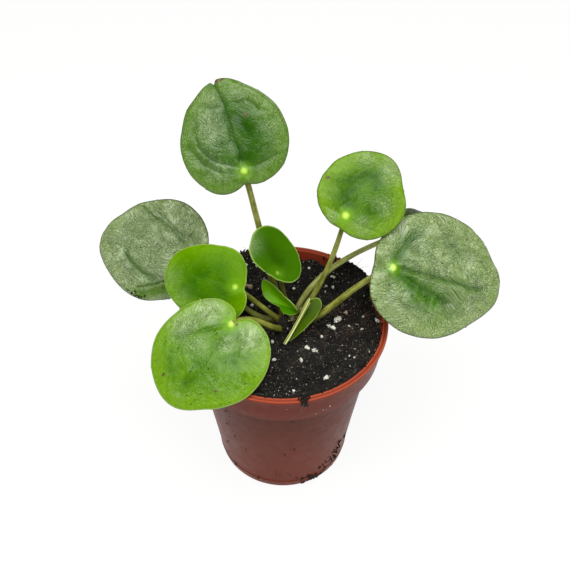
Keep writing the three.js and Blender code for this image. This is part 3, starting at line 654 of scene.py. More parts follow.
def make_blade(place, leaf, marks, material, count, seed):
    """A blade of even thickness with a half-round margin. The grid is centred on the blade's middle, and
    its rim follows the same outline as the frame's blade, cut off along the line where it is folded over.
    The upper side is lifted by creases, puckers and wandering wrinkles, sinks in a funnel at the joint, and
    turns down a little at the margin."""
    radius, turn = disc_grid(count)
    thickness = marks.get("thickness", LIVING_THICKNESS)
    outline_angle = np.linspace(0, FULL_TURN, 1441)
    outline = worn_reach(leaf, marks, outline_angle, seed + 8)
    outline_along = outline * np.cos(outline_angle) - leaf["middle"]
    outline_across = outline * np.sin(outline_angle)
    if "straight" in marks:
        (a, b), (c, d) = marks["straight"]
        line = np.array([c - a, d - b]) / math.hypot(c - a, d - b)
        outside = line[0] * (outline_across - b) - line[1] * (outline_along + leaf["middle"] - a)
        outside = np.maximum(outside, 0)
        outline_along, outline_across = outline_along + outside * line[1], outline_across - outside * line[0]
    outline_turn = np.arctan2(outline_across, outline_along) % FULL_TURN
    order = np.argsort(outline_turn)
    outline_reach = np.hypot(outline_along, outline_across)
    reach = np.interp(turn, outline_turn[order], outline_reach[order], period=FULL_TURN)

    half = thickness / 2
    inset = radius * (1 - half / reach)
    along = leaf["middle"] + inset * reach * np.cos(turn)
    across = inset * reach * np.sin(turn)
    to_margin = (1 - inset) * reach
    to_joint = np.hypot(along, across)

    # The grey on the upper side is partly wax bloom and partly painted sheen: a least share everywhere, and
    # patches.
    bloom_and_sheen = np.full(along.shape, float(marks["least_bloom_and_sheen"]))
    for strength, size_mm, at_along, at_across in marks["bloom_and_sheen"]:
        away = np.hypot(along - at_along, across - at_across)
        bloom_and_sheen = np.maximum(bloom_and_sheen, strength * np.exp(-((away / size_mm) ** 2)))
    # Painted shade: along the valleys the grey of bloom and painted sheen is taken off.
    for share, width, line in marks.get("bare", ()):
        ragged = width * (1 + 0.6 * soft_noise(along, across, 2.5, seed + 10))
        bloom_and_sheen = bloom_and_sheen * (1 - share * line_bell(along, across, line, ragged))

    # Creases are sunk into the blade, and the sunk ones are also darkened with painted shade.
    crease_shade = np.zeros_like(along)
    lift = np.zeros_like(along)
    clear_of_joint = 1 - np.exp(-((to_joint / 2.6) ** 2))
    for depth, width, line in marks["creases"]:
        stroke = line_bell(along, across, line, width) * clear_of_joint
        lift -= 1.3 * depth * stroke
        crease_shade = np.maximum(crease_shade, stroke * max(depth, 0))
    # Past the bent-back line the blade drops away, and that part is darkened with painted shade.
    if "bent_back" in marks:
        (a, b), (c, d), slope = marks["bent_back"]
        beyond = ((along - a) * (d - b) - (across - b) * (c - a)) / math.hypot(c - a, d - b)
        lift -= slope * (beyond + np.hypot(beyond, 0.3)) / 2
        crease_shade = np.maximum(crease_shade, np.clip(2 * beyond + 0.5, 0, 1))
    drifted = [at + 4 * soft_noise(along, across, 11, seed + step) for step, at in enumerate((along, across))]
    grain = math.radians(marks["grain"])
    u = drifted[0] * math.cos(grain) + drifted[1] * math.sin(grain)
    v = drifted[1] * math.cos(grain) - drifted[0] * math.sin(grain)
    drawn_in = (0.65 * to_joint + 6) / np.maximum(to_joint, 0.1)
    vein_u, vein_v = drifted[0] * drawn_in, drifted[1] * drawn_in
    where = np.clip(0.5 + 1.2 * soft_noise(along, across, 9, seed + 7), 0, 1)
    pucker = (where * puckers(vein_u, vein_v, 1.4, seed + 2)
              + (1 - where) * puckers(0.6 * u, v, 1.4, seed + 3)
              + 0.9 * puckers(0.8 * u, v, 2.7, seed + 9))
    inner = 1 - np.exp(-((to_joint / 5) ** 2))
    pucker = pucker * inner * (0.55 + 0.75 * bloom_and_sheen)
    lift += 0.4 * marks["wrinkle"] * pucker
    lift += 2.6 * marks["wrinkle"] * soft_noise(along, across, 6, seed + 4) * inner
    lift += 0.9 * marks["wrinkle"] * soft_noise(*drifted, 2.3, seed + 11) * inner
    young = leaf["half"] < 11
    lift -= (0 if young else 0.35) * np.exp(-((to_joint / 1.8) ** 2))
    wave = soft_noise(8 * np.cos(turn), 8 * np.sin(turn), 3.2, seed + 5)
    lift += (0.1 if young else 0.5) * wave * radius ** 4
    lift -= (0 if young else 0.45) * np.exp(-((to_margin / 0.9) ** 2))

    plain = blade_point(leaf, along, across)
    normal = unit(np.cross(np.gradient(plain, axis=0), np.gradient(plain, axis=1)))
    upper = plain + lift[..., None] * normal
    lower = plain + (0.7 * lift - thickness)[..., None] * normal

    border = np.concatenate([
        np.arange(count - 1) * count, (count - 1) * count + np.arange(count - 1),
        np.arange(count - 1, 0, -1) * count + count - 1, np.arange(count - 1, 0, -1)])
    row, column = np.divmod(border, count)
    one_in = np.clip(row, 1, count - 2) * count + np.clip(column, 1, count - 2)
    rim_upper, rim_lower = upper.reshape(-1, 3)[border], lower.reshape(-1, 3)[border]
    inward = upper.reshape(-1, 3)[one_in] - rim_upper
    rim_normal = unit(rim_upper - rim_lower)
    inward = unit(inward - (inward * rim_normal).sum(-1, keepdims=True) * rim_normal)
    centre = (rim_upper + rim_lower) / 2
    spread = np.linalg.norm(rim_upper - rim_lower, axis=-1)[:, None] / 2
    bends = np.radians([36, 72, 108, 144])[:, None, None]
    rim = centre + np.cos(bends) * spread * rim_normal - np.sin(bends) * half * inward

    size = count * count
    grid = np.arange(size).reshape(count, count)
    quads = np.stack([grid[:-1, :-1], grid[1:, :-1], grid[1:, 1:], grid[:-1, 1:]], axis=-1).reshape(-1, 4)
    faces = quads.tolist() + (quads[:, ::-1] + size).tolist()
    rings = 2 * size + np.arange(len(bends) * len(border)).reshape(len(bends), len(border))
    chain = [border, *rings, border + size]
    for near, far in zip(chain, chain[1:]):
        faces += np.stack([near, far, np.roll(far, -1), np.roll(near, -1)], axis=-1).tolist()
    points = np.concatenate([upper.reshape(-1, 3), lower.reshape(-1, 3), rim.reshape(-1, 3)])

    # Painted shade: the grey of bloom and painted sheen is taken out of the creases.
    bloom_and_sheen = bloom_and_sheen * (1 - 0.8 * crease_shade)
    scar = np.zeros_like(along)
    for size_mm, at_along, at_across in marks["scars"]:
        away = np.hypot(along - at_along, across - at_across)
        away = away + 0.5 * soft_noise(along, across, 0.9, seed + 6)
        scar = np.maximum(scar, np.clip(1.6 - 1.6 * away / size_mm, 0, 1))

    def everywhere(values):
        """Values of the upper side, repeated on the lower side and, from the border, on the rim."""
        values = values.reshape(size, *values.shape[2:])
        return np.concatenate([values, values, *[values[border]] * len(bends)])

    flat = np.zeros_like(along)
    fields = dict(
        leaf_plane=np.stack([*drifted, flat], axis=-1), vein_plane=np.stack([vein_u, vein_v, flat], axis=-1),
        joint_distance=to_joint, margin_distance=to_margin - half, crease_shade=crease_shade, pucker=pucker, bloom_and_sheen=bloom_and_sheen,
        scar=scar)
    attributes = {key: everywhere(values) for key, values in fields.items()}
    attributes["upper"] = np.concatenate([np.ones(size), np.zeros(size), np.ones(len(bends) * len(border))])
    make_piece(f"leaf_{place}", points, faces, material, [f"blade_{place}"], attributes=attributes)


def sheet(front, thickness):
    """Points and faces of a closed sheet: a grid of points, the same grid a thickness behind it, and an edge
    between the two."""
    normal = unit(np.cross(np.gradient(front, axis=1), np.gradient(front, axis=0)))
    size = front.shape[0] * front.shape[1]
    grid = np.arange(size).reshape(front.shape[:2])
    quads = np.stack([grid[:-1, :-1], grid[:-1, 1:], grid[1:, 1:], grid[1:, :-1]], axis=-1).reshape(-1, 4)
    border = np.r_[grid[0, :-1], grid[:-1, -1], grid[-1, :0:-1], grid[:0:-1, 0]]
    edge = np.stack([border, border + size, np.roll(border, -1) + size, np.roll(border, -1)], axis=-1)
    points = np.concatenate([front.reshape(-1, 3), (front - thickness * normal).reshape(-1, 3)])
    return points, np.concatenate([quads, quads[:, ::-1] + size, edge])


def make_folded_half(place, leaf, marks, material):
    """The near half of a leaf that hasn't opened: from the blade's straight edge it turns over on a tight
    circle, and then lies slanting over the upper side. It widens from the tip to a ragged top end, and its
    veins show as lengthwise ribs."""
    radius, bend, lead, outward = 0.42, 2.75, 1.2, 0.7
    (a, b), (c, d) = marks["straight"]
    line = np.array([c - a, d - b]) / math.hypot(c - a, d - b)
    t, s = np.meshgrid(np.linspace(0, 1, 60), np.linspace(0, 1, 30), indexing="ij")
    run = s * (lead + radius * bend + 0.8 + 1.2 * t ** 0.8) - lead
    bent = np.clip(run / radius, 0, bend)
    past = np.maximum(run - radius * bend, 0)
    inward = radius * (1 - np.sin(bent)) - outward - past * math.cos(bend) - np.minimum(run, 0)
    ribs = 0.1 * np.sin(FULL_TURN * run / RIB_SPACING)
    lift = radius * (1 - np.cos(bent)) + past * math.sin(bend) + ribs - 0.25
    t = t * (1 + 0.05 * soft_noise(6 * s, 0 * s, 1, 71))
    front = blade_point(leaf, a + t * (c - a) + inward * line[1], b + t * (d - b) - inward * line[0], lift)
    points, faces = sheet(front, 0.3)
    attributes = {"margin_distance": np.tile(run.ravel(), 2)}
    make_piece(f"leaf_{place}_near_half", points, faces.tolist(), material, attributes=attributes)


def make_stalk(place, leaf, marks, material):
    """A round stalk on the frame's own curve, from inside the stem to inside the blade. Its radius tapers
    from base to top, swells where it leaves the stem and again under the blade, and wavers a little."""
    steps, sides = 72, 20
    above = leaf_axes(leaf)[2]
    joint = np.array(leaf["joint"], float)
    start, lift, lean = (np.array(point, float) for point in leaf["stalk"])
    thickness = marks.get("thickness", LIVING_THICKNESS)
    end = joint - thickness * above
    t = np.linspace(-0.05, 1, steps)[:, None]
    path = (1 - t) ** 3 * start + 3 * t * (1 - t) ** 2 * lift + 3 * t ** 2 * (1 - t) * lean + t ** 3 * end
    tangent = unit(np.gradient(path, axis=0))
    flat = unit(np.cross(lean - start, end - start) + 1e-6)
    side = unit(np.cross(tangent, flat))
    other = np.cross(tangent, side)
    length = np.cumsum(np.r_[0, np.linalg.norm(np.diff(path, axis=0), axis=1)])
    base, top = leaf["radii"]
    share = np.clip(length / length[-1], 0, 1)
    radius = base + (top - base) * share ** 0.7
    radius = radius + 0.5 * np.exp(-((length / 3.5) ** 2))
    radius = radius + 0.5 * np.exp(-(((length[-1] - length) / 1.2) ** 2))
    seed = sum(map(ord, place))
    radius = radius * (1 + 0.05 * soft_noise(length, 0 * length + 3, 5, seed))
    turn = np.linspace(0, FULL_TURN, sides, endpoint=False)
    ridged = 1 + 0.03 * np.cos(3 * turn + seed) + 0.015 * np.cos(8 * turn)
    spoke = np.cos(turn)[None, :, None] * side[:, None] + np.sin(turn)[None, :, None] * other[:, None]
    rings = path[:, None] + radius[:, None, None] * ridged[None, :, None] * spoke
    near_joint = np.linalg.norm(rings - joint, axis=-1) < 5
    too_high = np.where(near_joint, np.maximum((rings - joint) @ above + thickness - 0.1, 0), 0)
    rings = rings - too_high[..., None] * above
    points, faces = capped_tube(rings, path[0], path[-1])
    around = np.stack(np.broadcast_arrays(turn[None, :] * base, length[:, None], 0 * turn[None, :]), axis=-1)
    ends = [[0, 0, 0], [0, length[-1], 0]]
    attributes = {"stalk_place": np.concatenate([around.reshape(-1, 3), ends])}
    make_piece(f"petiole_{place}", points, faces, material, [f"stalk_{place}"],
               attributes=attributes)


OLD_GREEN = dict(deep="#2b4f0a", fresh="#3d6217", edge="#4f6f21", bloom_and_sheen_grey="#adb68c", rim="#2c3f08",
                 underside="#607a44", wrinkled=0.9, pitted=0.8, roughness=0.2, coat=0.9, joint_glow=0.85)
YOUNG_GREEN = dict(deep="#335e00", fresh="#466f05", edge="#537c0d", bloom_and_sheen_grey="#a8b88c", rim="#8aa84c",
                   underside="#6c8844", wrinkled=0.2, pitted=0.0, roughness=0.17, coat=0.12, joint_glow=0.9)
LEAF_LOOKS = {
    "top": dict(OLD_GREEN, deep="#285600", fresh="#3a6806", edge="#58800c", bloom_and_sheen_grey="#9db27c", rim="#44620c",
                wrinkled=0.8, pitted=0.35, coat=0.62, bare_shine=0.3),
    "right_high": dict(YOUNG_GREEN, deep="#386600", fresh="#548206", edge="#7ca60c", rim="#4c6c0c",
                       wrinkled=0.9, coat=0.6, joint_glow=1.0, bare_shine=0.1),
    "right_low": dict(OLD_GREEN, deep="#36640a", fresh="#4a780e", edge="#62861e", bloom_and_sheen_grey="#acb987",
                      rim="#384e10", pitted=1.0, coat=0.8, joint_glow=1.0, bare_shine=0.2),
    # right_back lies behind and under right_low and right_high, and its greens are painted very dark as
    # shade.
    "right_back": dict(OLD_GREEN, deep="#193306", fresh="#213c0a", edge="#213c0a", coat=0.1),
    "centre": dict(YOUNG_GREEN, deep="#2b5200", fresh="#335e00", edge="#3e7000", joint_glow=0.3),
    "left_back": dict(OLD_GREEN, deep="#446a16", fresh="#547a24", edge="#688634", bloom_and_sheen_grey="#a8b38c", pitted=0.6,
                      coat=0.8, bare_shine=0.15),
    "left_middle": dict(YOUNG_GREEN, deep="#366800", fresh="#4b7c00", edge="#6c9c00", wrinkled=0.7, coat=0.05,
                        joint_glow=0.7),
    "left_front": dict(YOUNG_GREEN, deep="#4a7a02", fresh="#608e08", edge="#76a20a", wrinkled=0.85,
                       pitted=0.8, coat=0.75, bare_shine=0.25),
    "young_curled": dict(YOUNG_GREEN, deep="#569600", fresh="#62a404", edge="#70b00c", underside="#5a7c1c",
                         coat=0.08, joint_glow=0.0),
    "young_folded": dict(YOUNG_GREEN, deep="#264000", fresh="#344e00", edge="#466200", underside="#838f3a",
                         coat=0.05, joint_glow=0.0, ribbed=0.9),
}
GRID_CELL = 0.41
FINE_GRID_CELL = 0.29
SMALL_BLADE = 25
BREADTH = 0.62

stalk_skin = stalk_finish("juicy_green_stalk", "#64681a", "#a0a64c")
scarred_skin = stalk_finish("scarred_green_stalk", "#7e8630", "#b9c070")
for number, (place, leaf) in enumerate(LEAVES.items()):
    skin = leaf_finish(f"waxy_leaf_{place}", grain=MARKS[place]["grain"], **LEAF_LOOKS[place])
    # An even count keeps the grid's lines off the blade's middle, where there is no direction.
    widest = 2 * max(leaf["reach"]) * BREADTH
    fineness = int(widest / (FINE_GRID_CELL if widest < SMALL_BLADE else GRID_CELL))
    make_blade(place, leaf, MARKS[place], skin, fineness + fineness % 2, 100 + 20 * number)
    if "straight" in MARKS[place]:
        make_folded_half(place, leaf, MARKS[place], skin)
    make_stalk(place, leaf, MARKS[place], scarred_skin if place == "right_back" else stalk_skin)


# Pot

POT_SIDES = 210


def make_pot():
    """A turned wall with rounded edges, from the flat disc under its middle up the outside, over the lip and
    down the inside, with round drainage holes cut through the raised ring of its floor."""
    profile = [
        (0.5, 0), (REST_RADIUS, 0), (REST_RADIUS + 0.6, GROOVE_RISE), (GROOVE_RADIUS, GROOVE_RISE),
        (GROOVE_RADIUS + 0.6, 0), (BASE_RADIUS, 0), (BASE_RADIUS + 1.1, 1.2),
        (BODY_FOOT_RADIUS - 0.15, STEP_HEIGHT - 0.4), (BODY_FOOT_RADIUS - 0.4, STEP_HEIGHT),
        (BODY_FOOT_RADIUS + 2, STEP_HEIGHT + 20), (BODY_TOP_RADIUS - 1, COLLAR_FOOT - 8),
        (BODY_TOP_RADIUS, COLLAR_FOOT), (COLLAR_RADIUS, COLLAR_FOOT + 0.1),
        (COLLAR_RADIUS + 1, COLLAR_FOOT + 8), (LIP_RADIUS - 0.75, LIP_FOOT - 0.2),
        (LIP_RADIUS, LIP_FOOT), (LIP_RADIUS, POT_HEIGHT), (LIP_RADIUS - 0.7, POT_HEIGHT),
        (LIP_RADIUS - 1, POT_HEIGHT - 0.45), (LIP_RADIUS - 1.5, POT_HEIGHT - 0.4),
        (LIP_RADIUS - 1.75, POT_HEIGHT - 0.05), (LIP_INSIDE, POT_HEIGHT - 0.1),
        (LIP_INSIDE - 0.5, LIP_FOOT - WALL), (COLLAR_RADIUS - WALL, COLLAR_FOOT + WALL),
        (BODY_TOP_RADIUS - WALL, COLLAR_FOOT - 0.5), (BODY_FOOT_RADIUS - WALL, STEP_HEIGHT + WALL),
        (BASE_RADIUS - WALL + 0.6, FLOOR_TOP), (REST_RADIUS + 0.4, FLOOR_TOP), (REST_RADIUS - 0.8, FLOOR),
        (0.5, FLOOR),
    ]
    rings = turned(rounded(profile, 0.3), POT_SIDES)
    points, faces = capped_tube(rings, (0, 0, 0), (0, 0, FLOOR))
    pot = make_piece("nursery_pot", points, faces, pot_finish(), ["pot"])
    drill_points, drill_faces = [], []
    for i in range(DRAIN_COUNT):
        turn = FULL_TURN * (i + 0.5) / DRAIN_COUNT
        rings = turned([(DRAIN_RADIUS, GROOVE_RISE - 1), (DRAIN_RADIUS, FLOOR_TOP + 1)], 32)
        rings = rings + (DRAIN_CIRCLE * math.cos(turn), DRAIN_CIRCLE * math.sin(turn), 0)
        points, faces = capped_tube(rings, rings[0].mean(0), rings[1].mean(0))
        drill_faces += [[len(drill_points) + corner for corner in face] for face in faces]
        drill_points += points.tolist()
    mesh = bpy.data.meshes.new("drill")
    mesh.from_pydata((np.array(drill_points) * MM).tolist(), [], drill_faces)
    drill = bpy.data.objects.new("drill", mesh)
    bpy.context.scene.collection.objects.link(drill)
    cut = pot.modifiers.new("drains", "BOOLEAN")
    cut.operation, cut.object, cut.solver = "DIFFERENCE", drill, "EXACT"
    cut_mesh = bpy.data.meshes.new_from_object(pot.evaluated_get(bpy.context.evaluated_depsgraph_get()))
    pot.modifiers.clear()
    pot.data = cut_mesh
    bpy.data.objects.remove(drill)


make_pot()


# Soil

def soil_height(x, y):
    """Height of the frame's soil face: level round the stem, up to the lip at the front, lower at the back,
    heaped against the rim at the back left and the back right, with low waves."""
    angle = np.arctan2(y, x)
    share = np.hypot(x, y) / LIP_INSIDE
    slope = -SOIL_FRONT_RISE * (y / LIP_RADIUS) * share
    heaps = (7.5 * bell(angle, 113, 16) + 6.5 * bell(angle, 38, 13)) * share ** 6
    waves = 0.5 * np.sin(0.31 * x + 1.2) * np.cos(0.27 * y - 0.4) + 0.35 * np.sin(0.52 * (x - y) + 2)
    near_stem = np.exp(-((x - STEM_PLACE[0]) ** 2 + (y - STEM_PLACE[1]) ** 2) / 81)
    return SOIL_LEVEL - 0.8 * near_stem + slope + heaps + waves * (1 - near_stem)


def crumbly_height(x, y):
    """The soil face with its crumbs: soft noise at four sizes, the larger lumps cut flat below so that they
    stand up as clods with gaps between them. Loose peat is drawn up round the stem, over the lip's inner
    edge at the front, and against the wall at the back."""
    lumps = np.maximum(soft_noise(x, y, 5.5, 41), -0.2)
    clods = np.maximum(soft_noise(x, y, 2.3, 42), -0.3)
    angle = np.arctan2(y, x)
    share = np.hypot(x, y) / LIP_INSIDE
    mound = 4.2 * np.exp(-((x - STEM_PLACE[0] + 2.2) ** 2 + (y - STEM_PLACE[1] + 3) ** 2) / 40)
    drawn_up = 2.7 * share ** 9 * bell(angle, -80, 55) + 2.6 * share ** 4 * bell(angle, 75, 32)
    return (soil_height(x, y) + mound + drawn_up + 0.9 * lumps + 0.65 * clods
            + 0.45 * soft_noise(x, y, 1.1, 43) + 0.3 * soft_noise(x, y, 0.6, 44))


def make_soil():
    """The peat: a body that fills the pot below, closed by a crumbly face of fine rings."""
    sides, ring_count = 340, 95
    edge = LIP_INSIDE - 0.35
    below = turned([
        (REST_RADIUS - 1.2, FLOOR + 0.3), (REST_RADIUS, FLOOR_TOP + 0.3),
        (BASE_RADIUS - WALL - 0.4, FLOOR_TOP + 0.3), (BODY_FOOT_RADIUS - WALL - 0.45, STEP_HEIGHT + WALL),
        (BODY_TOP_RADIUS - WALL - 0.45, COLLAR_FOOT - 0.5),
        (COLLAR_RADIUS - WALL - 0.6, COLLAR_FOOT + WALL + 0.5)], sides)
    face = turned([(edge * share, 0) for share in np.linspace(1, 0.004, ring_count)], sides)
    face[..., 2] = crumbly_height(face[..., 0], face[..., 1])
    rings = np.concatenate([below, face])
    points, faces = capped_tube(rings, (0, 0, FLOOR + 0.3), (0, 0, face[-1, :, 2].mean()))
    peat = peat_finish("moist_sphagnum_peat", "#050605", "#1b1a17")
    make_piece("peat", points, faces, peat, ["soil"])


def lumpy_ball(sides=8, rings=5):
    """Unit directions of the rings of a small ball, without its poles."""
    lat = np.linspace(-math.pi / 2, math.pi / 2, rings + 2)[1:-1, None]
    lon = np.linspace(0, FULL_TURN, sides, endpoint=False)[None, :]
    x, y = np.cos(lat) * np.cos(lon), np.cos(lat) * np.sin(lon)
    return np.stack(np.broadcast_arrays(x, y, np.sin(lat)), axis=-1)


def scatter(name, centres, sizes, material, seed, sides=5, rings=3, squash=0.75, roughness=0.35):
    """Many small lumps in one piece: each is a ball of a few faces, stretched, turned about Z and roughened
    by its own random numbers."""
    rng = np.random.default_rng(seed)
    count = len(centres)
    ball = lumpy_ball(sides, rings)
    ball = np.concatenate([ball.reshape(-1, 3), [[0, 0, -1], [0, 0, 1]]])
    turn = rng.uniform(0, FULL_TURN, count)[:, None]
    stretch = rng.uniform(squash, 1.25, (count, 1, 3))
    rough = rng.uniform(1 - roughness, 1 + roughness, (count, len(ball), 1))
    shape = ball[None] * stretch * rough * np.asarray(sizes)[:, None, None]
    x = shape[..., 0] * np.cos(turn) - shape[..., 1] * np.sin(turn)
    y = shape[..., 0] * np.sin(turn) + shape[..., 1] * np.cos(turn)
    points = np.stack([x, y, shape[..., 2]], axis=-1) + np.asarray(centres, float)[:, None]
    one = capped_tube(lumpy_ball(sides, rings), (0, 0, -1), (0, 0, 1))[1]
    quads = np.array([face for face in one if len(face) == 4])
    threes = np.array([face for face in one if len(face) == 3])
    first = (np.arange(count) * len(ball))[:, None, None]
    faces = (quads[None] + first).reshape(-1, 4).tolist() + (threes[None] + first).reshape(-1, 3).tolist()
    make_piece(name, points.reshape(-1, 3), faces, material, smooth=False)


def on_soil(x, y, lift=0.0):
    """Places on the crumbly face of the soil, or lifted off it."""
    x, y = np.asarray(x, float), np.asarray(y, float)
    return np.stack([x, y, crumbly_height(x, y) + lift], axis=-1)


def on_disc(rng, count, radius):
    """Random places spread evenly over a disc, and the height of the soil there."""
    away = radius * np.sqrt(rng.uniform(0, 1, count))
    turn = rng.uniform(0, FULL_TURN, count)
    return on_soil(away * np.cos(turn), away * np.sin(turn))


def heaped(rng, count, azimuth, radius, height):
    """Random places round the pot's axis: each range is a middle and a spread, in degrees or millimetres."""
    turn = np.radians(rng.normal(*azimuth, count))
    away = rng.uniform(radius[0] - radius[1], radius[0] + radius[1], count)
    up = rng.uniform(height[0] - height[1], height[0] + height[1], count)
    return np.stack([away * np.cos(turn), away * np.sin(turn), up], axis=-1)


def mostly_small(rng, count, least, span):
    """Random sizes from the least upwards, most of them small: a share of the span, squared."""
    return least + span * rng.uniform(0, 1, count) ** 2


CRUMB_COUNT = 4300
HUSK_COUNT = 1200
STEM_CRUMB_COUNTS = (180, 170)
DUST_COUNT = 620
FIBRE_COUNT = 1250
ROOT_HAIR_COUNT = 130

make_soil()
rng = np.random.default_rng(7)
loose_crumbs = peat_finish("loose_peat_crumbs", "#070807", "#2a2621")
scatter("peat_crumbs", on_disc(rng, CRUMB_COUNT, LIP_INSIDE - 0.6) + (0, 0, 0.1),
        mostly_small(rng, CRUMB_COUNT, 0.22, 0.58), loose_crumbs, seed=8)

# Drier bits among the peat, and crumbs caught on the lower margin of the back left leaf: along, across, size
scatter("husk_bits", on_disc(rng, HUSK_COUNT, LIP_INSIDE - 0.8) + (0, 0, 0.3),
        mostly_small(rng, HUSK_COUNT, 0.08, 0.26),
        plain_finish("dry_husk", "#38322a", "#8f8272", size=0.8, roughness=0.8, bumpiness=0.4),
        seed=19, sides=4, rings=2)
CAUGHT = (
    (15.9, 26, 0.5), (13.8, 26, 0.6), (12, 26.2, 0.45), (10.2, 25.3, 0.6), (12.8, 24.5, 0.5),
    (8.2, 23.4, 0.5), (11.2, 25.4, 0.4), (14.9, 25.2, 0.35), (9.2, 24.8, 0.4), (16.8, 26, 0.3),
)
caught = np.array(CAUGHT)
scatter("caught_crumbs", blade_point(LEAVES["left_back"], caught[:, 0], caught[:, 1], -0.25), caught[:, 2],
        loose_crumbs, seed=20)
scatter("caught_perlite", blade_point(LEAVES["left_back"], caught[1:4, 0] + 0.8, caught[1:4, 1] - 1, 0.05),
        0.4 * caught[1:4, 2],
        plain_finish("perlite_fleck", "#bdbbb0", "#f4f3ec", size=0.8, roughness=0.8, bumpiness=0.6),
        seed=21)

# Peat that lies on the lip: in a clump at the front, heaps at the back left and the back right, and grains
# all along the lip's inner edge. Azimuth, radius and height, each with its spread.
LIP_CRUMBS = (
    (70, (-79, 1.3), (43.9, 1.5), (86.3, 0.5)), (26, (-79.5, 0.8), (45.3, 0.4), (84.6, 1.2)),
    (260, (114, 5), (42.6, 2.0), (86.6, 0.9)), (900, (40, 7), (43.5, 1.9), (86.4, 0.5)),
    (260, (-85, 36), (42.3, 0.5), (85.7, 0.35)), (25, (-10, 25), (42.1, 0.2), (84.8, 0.6)),
    (260, (53, 3.5), (41.8, 1.0), (84.8, 1.1)), (200, (24, 5), (41.9, 0.9), (84.6, 1.2)),
)
lip_places = np.concatenate([heaped(rng, *row) for row in LIP_CRUMBS])
scatter("lip_crumbs", lip_places, mostly_small(rng, len(lip_places), 0.2, 0.4),
        loose_crumbs, seed=14)

# Peat heaped loosely where the stalks leave the stem
wide, tight = STEM_CRUMB_COUNTS
stem_places = np.concatenate([
    rng.normal((1.0, -2.0), 2.1, (wide, 2)), rng.normal((0.1, -3.0), 0.9, (tight, 2))])
scatter("stem_crumbs", on_soil(stem_places[:, 0], stem_places[:, 1], rng.uniform(0.1, 2.1, wide + tight)),
        mostly_small(rng, wide + tight, 0.22, 0.45), loose_crumbs, seed=22)

# Perlite and bark: place and size of each grain
PERLITE = (
    (23.5, 2, 1.5), (24.5, 3.2, 1.1), (22.6, 1, 1.2), (20, -1.5, 1.1), (21.5, -2.5, 1.3), (19.3, -0.4, 0.7),
    (35, 5.5, 0.7), (41, 1.5, 1.1), (40.3, 2.6, 0.8), (36, 17, 0.7), (22.5, 28.5, 0.8), (23.3, 27.6, 0.8),
    (19.5, 23.5, 0.8), (22.5, 22.5, 0.9), (19, 20, 0.5), (12, 34.5, 0.7), (5, 21.5, 0.7), (10, -13, 1.1),
    (13, -14.5, 1.2), (14.2, -14.8, 0.8), (7.5, -20, 1.5), (9, -3.5, 0.6), (1.5, -4.5, 1.0), (16.5, -7, 0.7),
    (17.5, -31, 1.1), (4, -38.5, 0.9), (-3.5, -41, 0.6), (-3.5, -19.5, 1.0), (-4.5, -9.5, 0.9),
    (28.5, -0.5, 0.6), (25, -12, 0.5), (27.5, -19.5, 0.6), (29.5, -19.7, 0.6), (34, -3, 0.7),
    (-13, 36, 1.0), (-12, 35.2, 0.8), (-16.5, 34.5, 0.8), (-13.5, 11.5, 1.1), (-11.8, 12.4, 0.9),
    (-6, 11, 0.6), (-16.5, 38, 0.7),
)
perlite = np.array(PERLITE)
scatter("perlite_grains", on_soil(perlite[:, 0], perlite[:, 1], 0.3), 0.85 * perlite[:, 2],
        plain_finish("expanded_perlite", "#bdbbb0", "#f4f3ec", size=0.8, roughness=0.8, bumpiness=0.6),
        seed=9, sides=8, rings=5, squash=0.6, roughness=0.34)
BARK = ((27.5, 7, 1.2), (-15.5, 24, 1.4), (-14.6, 23, 0.9))
bark = np.array(BARK)
scatter("bark_grains", on_soil(bark[:, 0], bark[:, 1], 0.4), bark[:, 2],
        plain_finish("pale_bark", "#8d7a60", "#b9a685", size=0.7, roughness=0.8, bumpiness=0.6),
        seed=10, sides=10, rings=6, squash=0.6, roughness=0.25)
scatter("perlite_dust", on_disc(rng, DUST_COUNT, 42) + (0, 0, 0.25),
        mostly_small(rng, DUST_COUNT, 0.07, 0.24),
        plain_finish("perlite_dust", "#8f8c82", "#dedcd4", size=0.5, roughness=0.8, bumpiness=0.3),
        seed=11)


def make_hairs(name, path, radius, material):
    """Thin three-sided tubes along many paths at once, each tapering to half its radius at its end."""
    count, steps = path.shape[:2]
    sides = 3
    tangent = unit(np.gradient(path, axis=1))
    side = unit(np.cross(tangent, (0.1, 0.2, 1)))
    other = np.cross(side, tangent)
    radius = radius[:, None] * np.linspace(1, 0.5, steps)
    spin = np.linspace(0, FULL_TURN, sides, endpoint=False)[:, None]
    ring = np.cos(spin) * side[:, :, None] + np.sin(spin) * other[:, :, None]
    points = path[:, :, None] + radius[..., None, None] * ring
    first = (np.arange(count) * steps * sides)[:, None, None]
    faces = (ring_faces(steps, sides)[None] + first).reshape(-1, 4).tolist()
    caps = np.stack([np.arange(sides)[::-1], (steps - 1) * sides + np.arange(sides)])
    faces += (caps[None] + first).reshape(-1, sides).tolist()
    make_piece(name, points.reshape(-1, 3), faces, material)


def lying_paths(count, middle, spread, pace, seed):
    """Paths over the soil, each of nine points: it bends at random and lifts a little between its ends."""
    rng = np.random.default_rng(seed)
    steps = 9
    heading = rng.uniform(0, FULL_TURN, count)[:, None]
    heading = heading + np.cumsum(rng.normal(0, 0.3, (count, steps)), axis=1)
    pace = rng.uniform(*pace, count)[:, None]
    start = rng.normal(0, 1, (count, 2)) * spread + middle
    x = start[:, :1] + np.cumsum(pace * np.cos(heading), axis=1)
    y = start[:, 1:] + np.cumsum(pace * np.sin(heading), axis=1)
    shrink = np.minimum(1, 41.5 / np.hypot(x, y))
    x, y = x * shrink, y * shrink
    hop = np.sin(np.linspace(0, math.pi, steps)) * rng.uniform(0, 0.6, (count, 1))
    return np.stack([x, y, crumbly_height(x, y) + 0.2 + hop], axis=-1)


